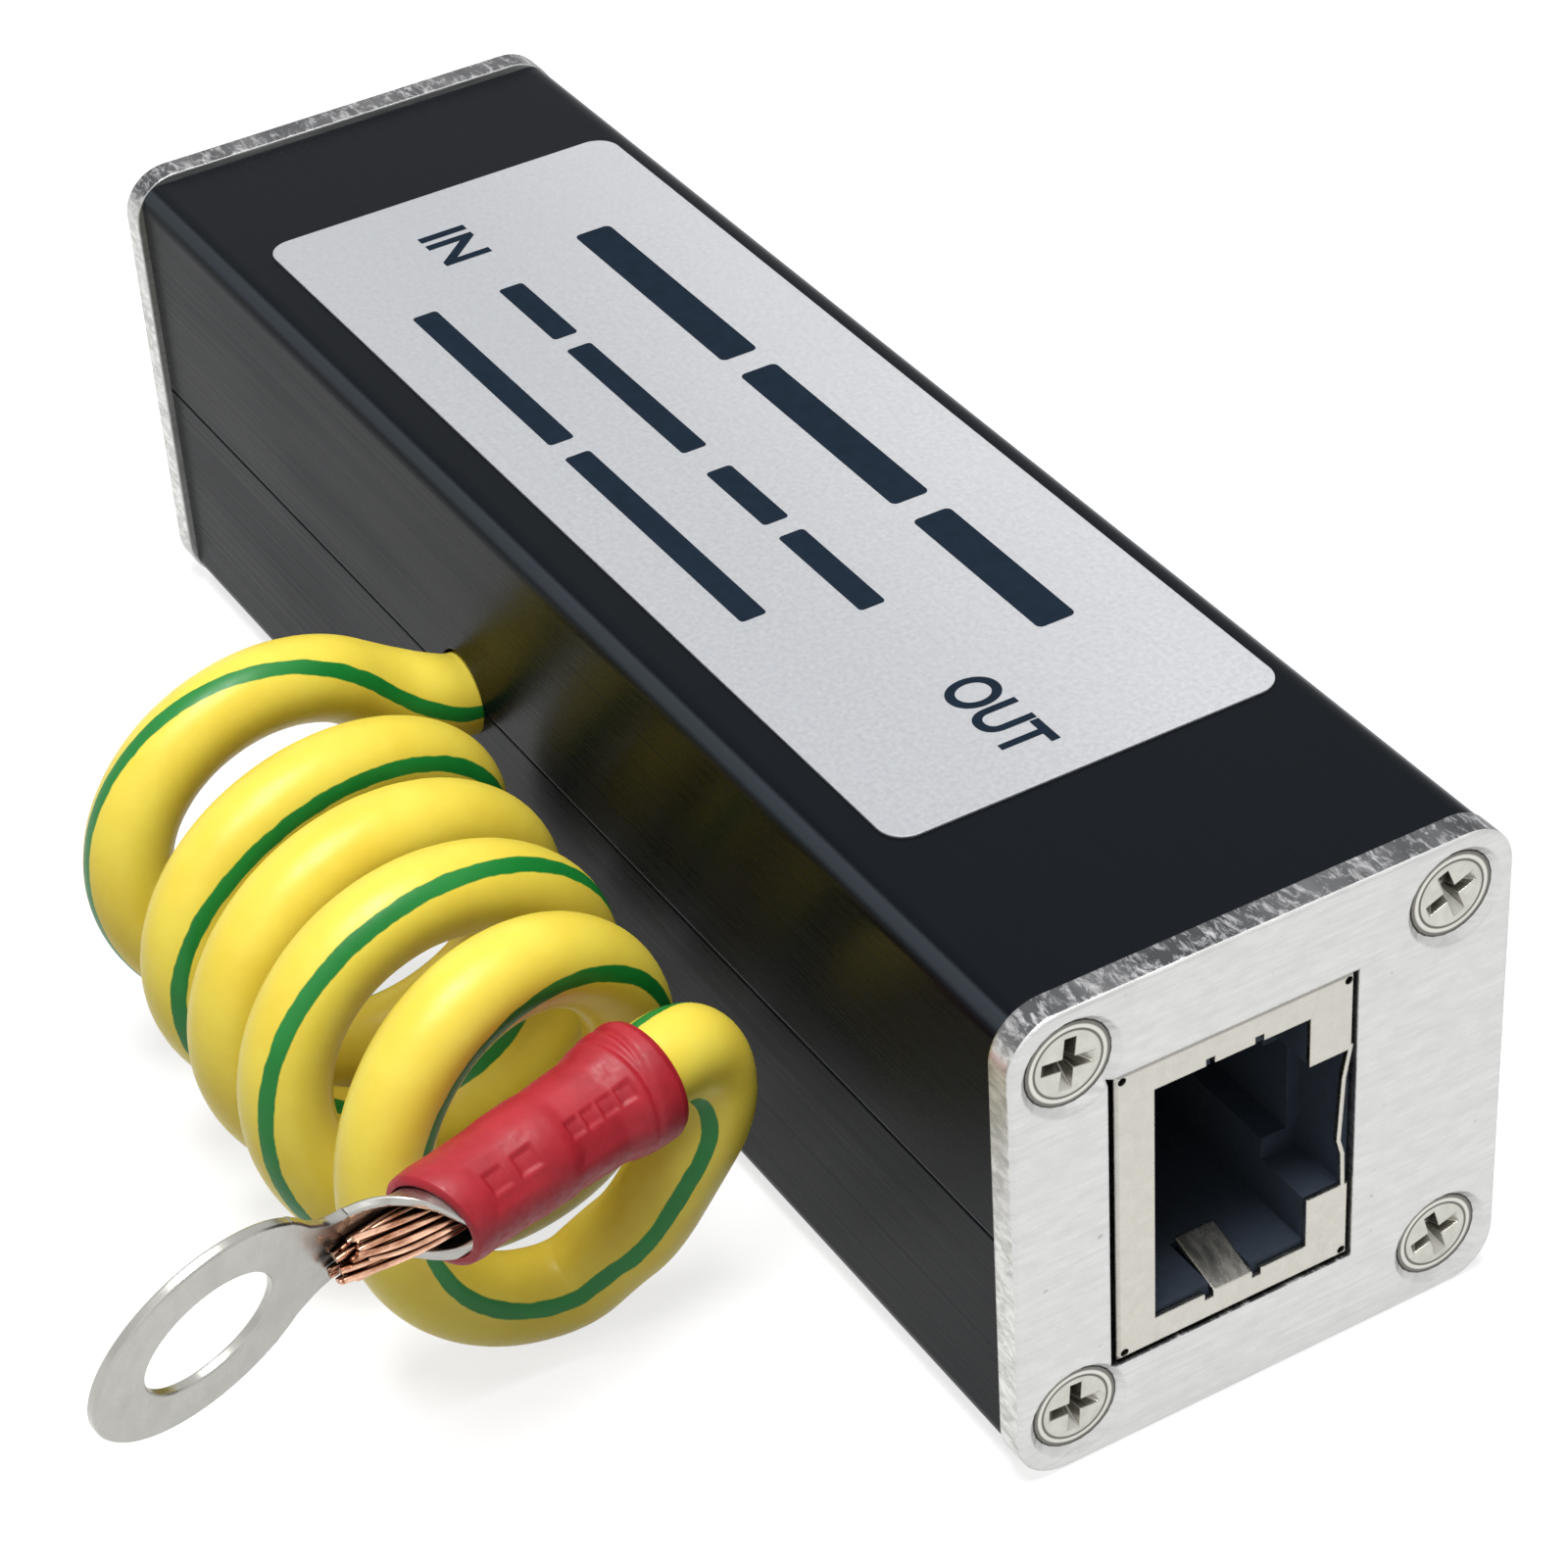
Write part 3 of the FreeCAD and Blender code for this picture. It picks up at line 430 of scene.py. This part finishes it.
def crimp_sleeve(material):
    """The red vinyl sleeve: rolled mouth, waist, pressed flats and squares, creases and a flared end."""
    place = terminal_frame() @ Matrix.Translation(Vector((0, 0, BARREL_LIFT)) * MM)

    def press(d, a):
        """How deep the crimping tool's print is at a distance from the mouth and an angle."""
        depth = 0.0
        for turn in (0.0, math.pi):
            off = (a - CRIMP_FACING - turn + math.pi) % (2 * math.pi) - math.pi
            for middle, half, reach, deep in CRIMPS:
                u, v = abs(d - middle) / half, abs(off) / reach
                edge = min(1.0, max(0.0, (1.0 - max(u, v)) / 0.38))
                depth += deep * edge * edge * (3 - 2 * edge)
        for middle, turn, half, deep in CREASES:
            fold = d - middle - 0.35 * math.sin(a - turn)
            facing = max(0.0, math.cos(a - CRIMP_FACING - 0.4 * turn))
            depth += deep * facing * math.exp(-(fold / half) ** 2)
        return depth

    def along(d, a):
        """Place along the terminal: the mouth is cut back on the side away from the tongue."""
        return SLEEVE_FRONT - d - MOUTH_TILT * math.exp(-d / 2.5) * (1 + math.sin(a)) / 2

    def ring_at(d, radius_at):
        """A ring of points round the terminal at a distance from the mouth."""
        ring = []
        for j in range(SLEEVE_SIDES):
            a = 2 * math.pi * j / SLEEVE_SIDES
            r = radius_at(a)
            ring.append(place @ (Vector((along(d, a), r * math.cos(a), r * math.sin(a))) * MM))
        return ring

    rings = []
    for i in range(SLEEVE_ROWS + 1):
        d = SLEEVE_LENGTH * i / SLEEVE_ROWS
        base = through(SLEEVE_PROFILE, d)
        squash = sum(share * math.exp(-((d - middle) / half) ** 2) for middle, half, share in SQUASHES)

        def outer_radius(a):
            r = base - press(d, a)
            r -= base * squash * math.cos(2 * (a - CRIMP_FACING))
            return max(r, WIRE_RADIUS + SLEEVE_LEAST)

        rings.append(ring_at(d, outer_radius))
    inner = []
    for i in range(SLEEVE_INNER_ROWS + 1):
        d = SLEEVE_LENGTH * i / SLEEVE_INNER_ROWS
        base = through(SLEEVE_PROFILE, d) - SLEEVE_WALL
        base = max(base, SLEEVE_BORE) if i else base + SLEEVE_LIP
        inner.append(ring_at(d, lambda a: base))
    rings = [inner[0], *rings, *inner[::-1][:-1], inner[0]]
    faces, _ = loft(rings)
    sleeve = add_piece("sleeve", [v for ring in rings for v in ring], faces, material)
    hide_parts("terminal_sleeve")
    return sleeve


def copper_strands(material):
    """Cut strands that come out of the barrel and lie over the tongue."""
    rng = random.Random(4)
    place = terminal_frame() @ Matrix.Translation(Vector((0, 0, BARREL_LIFT)) * MM)
    up_way = place.to_3x3() @ Vector((0, 0, 1))
    floor_z = SHEET / 2 + STRAND_RADIUS - BARREL_LIFT
    ways = [2 * math.pi * k / STRAND_SIDES for k in range(STRAND_SIDES)]
    verts, faces = [], []
    for radius, count in STRAND_RINGS:
        for n in range(count):
            a = 2 * math.pi * n / count + radius
            y, z = radius * math.cos(a), radius * math.sin(a)
            reach = STRAND_REACH * rng.uniform(0.66, 1.0)
            spread = rng.uniform(1.0, 1.55)
            bow, phase = rng.uniform(0.04, 0.13), rng.uniform(0, 6)
            path = []
            for i in range(STRAND_STEPS + 1):
                f = i / STRAND_STEPS
                x = SLEEVE_FRONT - STRAND_INSIDE + (reach + STRAND_INSIDE) * f
                yy = y * (1 + (spread - 1) * f * f) + bow * f * math.sin(5 * f + phase)
                zz = z * (1 - 0.35 * f * f) - 0.1 - 0.6 * f + 0.6 * bow * f * math.cos(4 * f + phase)
                path.append(place @ (Vector((x, yy, max(zz, floor_z))) * MM))
            rings = []
            for i, (p, way, side, up) in enumerate(frames_along(path, up_way)):
                r = STRAND_RADIUS * MM * (0.85 if i == STRAND_STEPS else 1)
                rings.append([p + r * (math.cos(b) * side + math.sin(b) * up) for b in ways])
            more, _ = loft(rings, closed_ends=True)
            faces += [[v + len(verts) for v in face] for face in more]
            verts += [v for ring in rings for v in ring]
    strands = add_piece("strands", verts, faces, material)
    strands.data.set_sharp_from_angle(angle=math.radians(50))
    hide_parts("copper_strands")
    return strands


# Print


def label_print(material):
    """Plain bars in rows, and the words at the two ends, as thin ink on the label."""
    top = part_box("name_label")[1][2] + PRINT_LIFT * MM
    verts, faces = [], []

    def add_face(points):
        faces.append(list(range(len(verts), len(verts) + len(points))))
        verts.extend(points)

    for x0, x1, y, height in PRINT_BARS:
        corner = height * BAR_ROUNDING
        half_x, half_y = (x1 - x0) / 2 - corner, height / 2 - corner
        corners = []
        for quarter, (right, up) in enumerate(((1, 1), (-1, 1), (-1, -1), (1, -1))):
            for step in range(7):
                a = math.radians(90 * quarter + 15 * step)
                spot_x = (x0 + x1) / 2 + right * half_x + corner * math.cos(a)
                spot_y = y + up * half_y + corner * math.sin(a)
                corners.append((spot_x * MM, spot_y * MM, top))
        add_face(corners)
    for word, (x0, x1), (y0, y1) in PRINT_MARKS:
        text = bpy.data.curves.new("mark", "FONT")
        text.body = word
        text.offset = MARK_WEIGHT
        holder = bpy.data.objects.new("mark", text)
        mesh = bpy.data.meshes.new_from_object(holder)
        places = [v.co for v in mesh.vertices]
        low = [min(p[k] for p in places) for k in (0, 1)]
        high = [max(p[k] for p in places) for k in (0, 1)]
        for poly in mesh.polygons:
            add_face([
                (
                    (x0 + (x1 - x0) * (places[v].x - low[0]) / (high[0] - low[0])) * MM,
                    (y0 + (y1 - y0) * (places[v].y - low[1]) / (high[1] - low[1])) * MM,
                    top,
                )
                for v in poly.vertices
            ])
        bpy.data.meshes.remove(mesh)
        bpy.data.objects.remove(holder)
        bpy.data.curves.remove(text)
    ink = add_piece("label_print", verts, faces, material, smooth=False)
    return ink


# Materials


def add_node(tree, kind, settings=None, **inputs):
    """A shader node with its settings and inputs. Input names use _ for a space, or are i and a number."""
    node = tree.nodes.new("ShaderNode" + kind)
    for key, value in (settings or {}).items():
        setattr(node, key, value)
    for key, value in inputs.items():
        numbered = key[0] == "i" and key[1:].isdigit()
        socket = node.inputs[int(key[1:]) if numbered else key.replace("_", " ")]
        if isinstance(value, bpy.types.NodeSocket):
            tree.links.new(value, socket)
        else:
            socket.default_value = value
    return node


def calc(tree, operation, *values):
    """The result of a Math node."""
    inputs = {f"i{n}": value for n, value in enumerate(values)}
    return add_node(tree, "Math", {"operation": operation}, **inputs).outputs[0]


def new_material(name, colour, roughness, metallic=0.0, **more):
    """A material with a Principled shader, and its tree and shader."""
    material = bpy.data.materials.new(name)
    material.use_nodes = True
    tree = material.node_tree
    shader = tree.nodes["Principled BSDF"]
    settings = {"Base_Color": (*colour, 1), "Roughness": roughness, "Metallic": metallic, **more}
    for key, value in settings.items():
        shader.inputs[key.replace("_", " ")].default_value = value
    return material, tree, shader


def feed(tree, shader, **inputs):
    """Links values to a shader's inputs. Input names use _ for a space."""
    for key, value in inputs.items():
        tree.links.new(value, shader.inputs[key.replace("_", " ")])


def grain(tree, scale, detail=3.0, rough=0.5, distortion=0.0):
    """Noise in object space, with its own scale per metre along each axis."""
    place = add_node(tree, "TexCoord").outputs["Object"]
    mapped = add_node(tree, "Mapping", Vector=place, Scale=scale).outputs[0]
    settings = {"Scale": 1.0, "Detail": detail, "Roughness": rough, "Distortion": distortion}
    return add_node(tree, "TexNoise", Vector=mapped, **settings).outputs["Fac"]


def remap(tree, value, low, high, to_low, to_high, smooth=False):
    """A value moved from one range to another."""
    kind = {"interpolation_type": "SMOOTHSTEP" if smooth else "LINEAR"}
    span = {"From_Min": low, "From_Max": high, "To_Min": to_low, "To_Max": to_high}
    return add_node(tree, "MapRange", kind, Value=value, **span).outputs[0]


def mix_colour(tree, share, a, b):
    """A blend of two colours."""
    node = add_node(tree, "Mix", {"data_type": "RGBA"}, i0=share)
    for index, value in ((6, a), (7, b)):
        if isinstance(value, bpy.types.NodeSocket):
            tree.links.new(value, node.inputs[index])
        else:
            node.inputs[index].default_value = (*value, 1)
    return node.outputs[2]


def speckled(tree, noise, low, high, a, b):
    """A colour that goes from one to the other as the noise rises."""
    return mix_colour(tree, remap(tree, noise, low, high, 0, 1), a, b)


def bumped(tree, height, strength, distance, **more):
    """A normal with a bump on it."""
    return add_node(tree, "Bump", Height=height, Strength=strength, Distance=distance, **more).outputs[0]


def rounded_normal(tree, radius, height, strength, distance):
    """Softened edges with a bump on them."""
    normal = add_node(tree, "Bevel", {"samples": 6}, Radius=radius).outputs[0]
    return bumped(tree, height, strength, distance, Normal=normal)


def black_anodised():
    """Black anodised aluminium with fine lines along the case and a painted highlight on its rounded corners.
    """
    # corner is the paler tone of the painted highlight on the rounded corners
    black, scratched, corner = (0.0045, 0.0058, 0.0078), (0.02, 0.022, 0.025), (0.030, 0.036, 0.043)
    material, tree, shader = new_material(
        "black_anodised", black, 0.3, Specular_IOR_Level=0.038, Specular_Tint=(0.78, 0.90, 1.0, 1),
    )
    lines = grain(tree, (22, 5200, 5200), 4, 0.65)
    patches = grain(tree, (60, 160, 160), 2)
    colour = speckled(tree, grain(tree, (9, 3600, 3600), 2), 0.66, 0.78, black, scratched)
    normal = add_node(tree, "NewGeometry").outputs["Normal"]
    upward = add_node(tree, "SeparateXYZ", Vector=normal).outputs[2]
    # Painted highlight: normals between the sides and the top, on the rounded corners, get the paler corner
    # tone; the top itself is set back to plain black
    colour = mix_colour(tree, remap(tree, upward, 0.35, 0.6, 0, 1, True), colour, corner)
    colour = mix_colour(tree, remap(tree, upward, 0.84, 0.93, 0, 1, True), colour, black)
    fine, wide = remap(tree, lines, 0.3, 0.7, 0.2, 0.36), remap(tree, patches, 0.3, 0.7, -0.03, 0.05)
    feed(
        tree, shader, Base_Color=colour, Roughness=calc(tree, "ADD", fine, wide),
        Normal=rounded_normal(tree, 0.0002, lines, 0.35, 0.00001),
    )
    return material


def ground_plate():
    """Bare aluminium plate: a finely ground face and a milled rim with slanting cutter marks, its top painted
    darker and its sides painted brighter as painted shade and highlight.
    """
    material, tree, shader = new_material("ground_plate", (0.62, 0.62, 0.61), 0.3, 1.0)
    face_lines = grain(tree, (60, 260, 5200), 5, 0.75)
    cloud = grain(tree, (700, 800, 1600), 4, 0.7)
    pits = remap(tree, grain(tree, (1500, 1500, 1500), 1), 0.76, 0.82, 0, 0.7)
    rim_marks = grain(tree, (900, 2100, 2100), 4, 0.75, 0.5)
    rim_wide = grain(tree, (120, 420, 420), 2)
    normal = add_node(tree, "NewGeometry").outputs["Normal"]
    facing = add_node(tree, "SeparateXYZ", Vector=normal).outputs
    rim = remap(tree, calc(tree, "ABSOLUTE", facing[0]), 0.2, 0.6, 1, 0, True)
    face = speckled(tree, face_lines, 0.3, 0.7, (0.53, 0.535, 0.525), (0.66, 0.66, 0.65))
    face = mix_colour(tree, remap(tree, cloud, 0.42, 0.75, 0, 0.5), face, (0.49, 0.49, 0.485))
    face = mix_colour(tree, pits, face, (0.34, 0.34, 0.34))
    # The milled rim is split by facing: its top is painted darker and its sides brighter, which is painted
    # shade and highlight; the speckle in both is the cutter marks
    rim_top_painted_shade = speckled(tree, rim_marks, 0.49, 0.68, (0.075, 0.077, 0.082), (0.60, 0.60, 0.61))
    rim_side_painted_highlight = speckled(tree, rim_marks, 0.4, 0.6, (0.42, 0.42, 0.40), (0.72, 0.72, 0.70))
    rim_tone = mix_colour(tree, remap(tree, facing[2], 0.2, 0.8, 0, 1, True), rim_side_painted_highlight, rim_top_painted_shade)
    rim_tone = mix_colour(tree, remap(tree, rim_wide, 0.4, 0.7, 0, 0.3), rim_tone, (0.4, 0.4, 0.4))
    rough = add_node(tree, "Mix", i0=rim, i2=remap(tree, face_lines, 0.3, 0.7, 0.3, 0.46), i3=0.36)
    height = add_node(tree, "Mix", i0=rim, i2=face_lines, i3=rim_marks)
    feed(
        tree, shader, Base_Color=mix_colour(tree, rim, face, rim_tone), Roughness=rough.outputs[0],
        Normal=rounded_normal(tree, 0.00018, height.outputs[0], 0.25, 0.00003),
    )
    return material


def screw_metal(material, tree, shader):
    """Adds painted rings near the edge of each head, at their distance from the nearest screw axis: painted
    shade on either side of a ring of painted highlight.
    """
    place = add_node(tree, "SeparateXYZ", Vector=add_node(tree, "TexCoord").outputs["Object"]).outputs

    def from_axis(value, centre):
        off = calc(tree, "ABSOLUTE", calc(tree, "SUBTRACT", value, centre))
        return calc(tree, "SUBTRACT", off, SCREW_PITCH / 2)

    offset = add_node(tree, "CombineXYZ", X=from_axis(place[1], 0.0), Y=from_axis(place[2], SCREW_MIDDLE))
    radius = add_node(tree, "VectorMath", {"operation": "LENGTH"}, i0=offset.outputs[0]).outputs["Value"]
    tone = shader.inputs["Base Color"].links[0].from_socket
    # Painted rings: dark bands of painted shade round a band of painted highlight, near the edge of each head
    for radii, colour in SCREW_PAINTED_RINGS:
        tone = mix_colour(tree, remap(tree, radius, *radii, 0, 1, True), tone, colour)
    feed(tree, shader, Base_Color=tone)
    return material


def plated(name, tone, dark, rough_low, rough_high, scale, bevel, shade=0.85, reach=0.0012):
    """Plated sheet or turned metal with faint marks and painted shade in its hollows, with its tree and
    shader.
    """
    material, tree, shader = new_material(name, tone, rough_low, 1.0)
    marks = grain(tree, scale, 4, 0.6)
    # Painted shade: the colour darkens towards a darker copy of the mark tone where ambient occlusion finds
    # nearby surfaces, as in hollows and gaps
    painted_hollow_shade = add_node(tree, "AmbientOcclusion", {"samples": 8}, Distance=reach).outputs["AO"]
    colour = mix_colour(tree, remap(tree, marks, 0.35, 0.75, 0, 0.5), tone, dark)
    painted_hollow_tone = tuple(c * 0.35 for c in dark)
    colour = mix_colour(tree, remap(tree, painted_hollow_shade, 0.25, 0.9, shade, 0), colour, painted_hollow_tone)
    feed(
        tree, shader, Base_Color=colour, Roughness=remap(tree, marks, 0.3, 0.7, rough_low, rough_high),
        Normal=rounded_normal(tree, bevel, marks, 0.15, 0.00002),
    )
    return material, tree, shader


def silver_label():
    """Satin foil with a fine grain, and a painted sheen that makes it brighter towards one long side."""
    material, tree, shader = new_material("silver_label", (0.55, 0.555, 0.57), 0.42, 0.35)
    fine = grain(tree, (4000, 4000, 4000), 2)
    wide = grain(tree, (30, 60, 60), 2)
    place = add_node(tree, "SeparateXYZ", Vector=add_node(tree, "TexCoord").outputs["Object"]).outputs
    # Painted sheen: the tone goes from a shaded copy to a lit copy towards one long side, as a painted
    # highlight
    painted_sheen = remap(tree, calc(tree, "MULTIPLY_ADD", place[0], 0.1, place[1]), -0.006, 0.013, 0, 1, True)
    painted_shade_side = speckled(tree, fine, 0.3, 0.7, (0.375, 0.385, 0.405), (0.42, 0.43, 0.45))
    painted_highlight_side = speckled(tree, fine, 0.3, 0.7, (0.465, 0.47, 0.485), (0.515, 0.52, 0.535))
    tone = mix_colour(tree, painted_sheen, painted_shade_side, painted_highlight_side)
    tone = mix_colour(tree, remap(tree, wide, 0.3, 0.7, 0, 0.3), tone, (0.37, 0.38, 0.40))
    feed(
        tree, shader, Base_Color=tone, Roughness=remap(tree, fine, 0.3, 0.7, 0.36, 0.5),
        Normal=rounded_normal(tree, 0.0001, fine, 0.1, 0.00001),
    )
    return material


def wire_sheath():
    """Yellow PVC with two green stripes along it."""
    material, tree, shader = new_material(
        "wire_sheath", (0.86, 0.66, 0.05), 0.38, Specular_IOR_Level=0.35,
        Subsurface_Weight=0.12, Subsurface_Radius=(1.0, 0.6, 0.1), Subsurface_Scale=0.0008,
    )
    around = add_node(tree, "SeparateXYZ", Vector=add_node(tree, "TexCoord").outputs["UV"]).outputs[0]
    wobble = remap(tree, grain(tree, (900, 900, 900), 2), 0.3, 0.7, -0.006, 0.006)
    half_turn = calc(tree, "FRACT", calc(tree, "MULTIPLY", around, 2.0))
    away = calc(tree, "ADD", calc(tree, "ABSOLUTE", calc(tree, "SUBTRACT", half_turn, 0.5)), wobble)
    edge = 0.5 - STRIPE_HALF_WIDTH / 180
    stripe = remap(tree, away, edge - 0.006, edge + 0.006, 0, 1, True)
    cloud = grain(tree, (260, 260, 260), 4, 0.6)
    yellow = speckled(tree, cloud, 0.3, 0.75, (0.84, 0.69, 0.088), (0.78, 0.585, 0.056))
    green = speckled(tree, cloud, 0.3, 0.7, (0.006, 0.165, 0.024), (0.012, 0.215, 0.034))
    fine = grain(tree, (2200, 2200, 2200), 3, 0.6)
    feed(
        tree, shader, Base_Color=mix_colour(tree, stripe, yellow, green),
        Roughness=remap(tree, fine, 0.3, 0.7, 0.32, 0.46), Normal=bumped(tree, fine, 0.12, 0.00003),
    )
    return material


def red_vinyl():
    """Soft red vinyl, a little cloudy."""
    material, tree, shader = new_material(
        "red_vinyl", (0.37, 0.013, 0.024), 0.45, Specular_IOR_Level=0.35,
        Subsurface_Weight=0.15, Subsurface_Radius=(1.0, 0.2, 0.15), Subsurface_Scale=0.0006,
    )
    cloud = grain(tree, (520, 520, 520), 4, 0.65)
    fine = grain(tree, (2600, 2600, 2600), 3, 0.6)
    feed(
        tree, shader, Base_Color=speckled(tree, cloud, 0.3, 0.75, (0.41, 0.018, 0.030), (0.29, 0.010, 0.018)),
        Roughness=remap(tree, fine, 0.3, 0.7, 0.38, 0.6), Normal=bumped(tree, cloud, 0.35, 0.0001),
    )
    return material


def copper():
    """Bare drawn copper with a streaked tarnish, and painted shade in its hollows."""
    material, tree, shader = new_material("copper", (0.80, 0.42, 0.26), 0.25, 1.0)
    streaks = grain(tree, (700, 500, 1500), 4, 0.6)
    # Painted shade: the colour darkens where ambient occlusion finds nearby surfaces, between the strands
    painted_hollow_shade = add_node(tree, "AmbientOcclusion", {"samples": 8}, Distance=0.0005).outputs["AO"]
    tone = speckled(tree, streaks, 0.38, 0.62, (0.92, 0.56, 0.39), (0.34, 0.13, 0.065))
    tone = mix_colour(tree, remap(tree, painted_hollow_shade, 0.35, 0.95, 0.9, 0), tone, (0.07, 0.025, 0.012))
    feed(tree, shader, Base_Color=tone, Roughness=remap(tree, streaks, 0.3, 0.7, 0.12, 0.3))
    return material


def plain(name, colour, roughness, metallic=0.0, specular=0.5):
    """A moulded, coated or cast surface with a faint mottle."""
    material, tree, shader = new_material(name, colour, roughness, metallic, Specular_IOR_Level=specular)
    mottle = grain(tree, (1400, 1400, 1400), 3, 0.6)
    darker = tuple(c * 0.85 for c in colour)
    rough = remap(tree, mottle, 0.3, 0.7, roughness * 0.85, min(1, roughness * 1.15))
    feed(
        tree, shader, Base_Color=speckled(tree, mottle, 0.35, 0.7, colour, darker), Roughness=rough,
        Normal=rounded_normal(tree, 0.00008, mottle, 0.1, 0.00002),
    )
    return material


# Stage


def stage_light(name, place, power, size):
    """A soft square lamp that faces the part."""
    data = bpy.data.lights.new(name, "AREA")
    data.energy = power
    data.size = size
    lamp = bpy.data.objects.new(name, data)
    lamp.location = place
    lamp.rotation_mode = "QUATERNION"
    lamp.rotation_quaternion = (-Vector(place)).to_track_quat("-Z", "Y")
    bpy.context.scene.collection.objects.link(lamp)


def seen_white(tree, lit, white):
    """Lets the camera and mirrors see one shader, and the light another."""
    rays = add_node(tree, "LightPath").outputs
    seen = calc(tree, "MAXIMUM", rays["Is Camera Ray"], rays["Is Glossy Ray"])
    seen = calc(tree, "MAXIMUM", seen, rays["Is Transmission Ray"])
    return add_node(tree, "MixShader", i0=seen, i1=lit, i2=white).outputs[0]


def stage():
    """A pale floor, a white surround, soft lamps and the camera."""
    world = bpy.data.worlds.new("surround")
    bpy.context.scene.world = world
    world.use_nodes = True
    tree = world.node_tree
    tree.nodes.clear()
    lit = add_node(tree, "Background", Color=(0.94, 0.97, 1, 1), Strength=WORLD_STRENGTH).outputs[0]
    white = add_node(tree, "Background", Color=(1, 1, 1, 1), Strength=1.0).outputs[0]
    out = add_node(tree, "OutputWorld")
    tree.links.new(seen_white(tree, lit, white), out.inputs["Surface"])

    mesh = bpy.data.meshes.new("floor")
    corners = [(x * FLOOR_HALF, y * FLOOR_HALF, 0) for x, y in ((-1, -1), (1, -1), (1, 1), (-1, 1))]
    mesh.from_pydata(corners, [], [(0, 1, 2, 3)])
    floor = bpy.data.objects.new("floor", mesh)
    floor.location.z = -FLOOR_DROP
    bpy.context.scene.collection.objects.link(floor)
    material, tree, shader = new_material("floor", (0.32, 0.32, 0.32), 0.9)
    place = add_node(tree, "TexCoord").outputs["Object"]
    away = add_node(tree, "VectorMath", {"operation": "LENGTH"}, i0=place).outputs["Value"]
    strength = remap(tree, away, *FLOOR_GLOW_REACH, *FLOOR_GLOW, True)
    glow = add_node(tree, "Emission", Color=(1, 1, 1, 1), Strength=strength).outputs[0]
    shade = add_node(tree, "BsdfDiffuse", Color=(0.35, 0.35, 0.35, 1)).outputs[0]
    both = add_node(tree, "AddShader", i0=glow, i1=shade).outputs[0]
    out = tree.nodes["Material Output"]
    tree.links.new(seen_white(tree, shader.outputs[0], both), out.inputs["Surface"])
    mesh.materials.append(material)

    for lamp in LAMPS:
        stage_light(*lamp)

    data = bpy.data.cameras.new("camera")
    data.lens = CAMERA_LENS
    data.sensor_width = 36
    data.clip_start = 0.01
    camera = bpy.data.objects.new("camera", data)
    look = (CAMERA_AIM - CAMERA_PLACE).to_track_quat("-Z", "Y").to_matrix()
    look = look @ Matrix.Rotation(CAMERA_ROLL, 3, "Z")
    camera.matrix_world = Matrix.Translation(CAMERA_PLACE) @ look.to_4x4()
    bpy.context.scene.collection.objects.link(camera)
    bpy.context.scene.camera = camera
    bpy.context.scene.view_settings.view_transform = "Standard"


def dress(looks):
    """Gives each CAD node its material."""
    for node, material in looks.items():
        data = frame["nodes"][node].data
        data.materials.clear()
        data.materials.append(material)
        data.shade_smooth()
        data.set_sharp_from_angle(angle=math.radians(28))


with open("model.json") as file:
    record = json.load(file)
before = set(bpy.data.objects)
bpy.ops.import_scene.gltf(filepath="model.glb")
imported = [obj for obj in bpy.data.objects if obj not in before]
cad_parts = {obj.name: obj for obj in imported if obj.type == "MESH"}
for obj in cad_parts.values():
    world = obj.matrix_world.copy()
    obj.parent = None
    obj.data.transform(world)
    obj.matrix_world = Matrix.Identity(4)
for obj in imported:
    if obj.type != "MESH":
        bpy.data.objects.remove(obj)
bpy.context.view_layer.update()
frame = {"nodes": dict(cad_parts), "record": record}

anodised, plate = black_anodised(), ground_plate()
nickel = screw_metal(*plated(
    "nickel_screw", (0.55, 0.54, 0.49), (0.38, 0.37, 0.33), 0.16, 0.3, (1500, 1500, 1500), 0.0001, 0.55,
))
shield = plated(
    "nickel_shield", (0.53, 0.515, 0.465), (0.45, 0.435, 0.39), 0.2, 0.34, (200, 1600, 1600), 0.00012,
)[0]
tin = plated(
    "tinned_copper", (0.42, 0.415, 0.385), (0.34, 0.335, 0.31), 0.22, 0.36, (500, 900, 500), 0.00008,
    0.4, 0.0004,
)[0]
black_plastic = plain("black_plastic", (0.033, 0.046, 0.068), 0.75, specular=0.3)
board_green = plain("board_green", (0.01, 0.12, 0.05), 0.35)
ceramic = plain("ceramic", (0.82, 0.81, 0.77), 0.25)
gilt = plain("gilt", (0.86, 0.62, 0.26), 0.2, 1.0)
solder = plain("solder", (0.72, 0.72, 0.71), 0.25, 1.0)
chip = plain("chip_coating", (0.02, 0.02, 0.022), 0.4)
ink = plain("label_ink", (0.014, 0.022, 0.035), 0.7, specular=0.0)
bare_copper = copper()

dress({
    "case_upper_half": anodised, "case_lower_half": anodised,
    "end_plate_out": plate, "end_plate_in": plate,
    "plate_screws_out": nickel, "plate_screws_in": nickel,
    "jack_shield_out": shield, "jack_shield_in": shield,
    "jack_housing_out": black_plastic, "jack_housing_in": black_plastic,
    "jack_contacts_out": gilt, "jack_contacts_in": gilt,
    "circuit_board": board_green, "gas_tube_ceramics": ceramic, "gas_tube_electrodes": solder,
    "bridge_rectifiers": black_plastic, "clamp_diodes": black_plastic, "line_resistors": chip,
    "name_label": silver_label(), "ground_wire_core": bare_copper, "ground_solder_joint": solder,
})

wire, wire_points = ground_wire(wire_sheath())
terminal = terminal_sheet(tin)
sleeve = crimp_sleeve(red_vinyl())
strands = copper_strands(bare_copper)
label_print(ink)
stage()
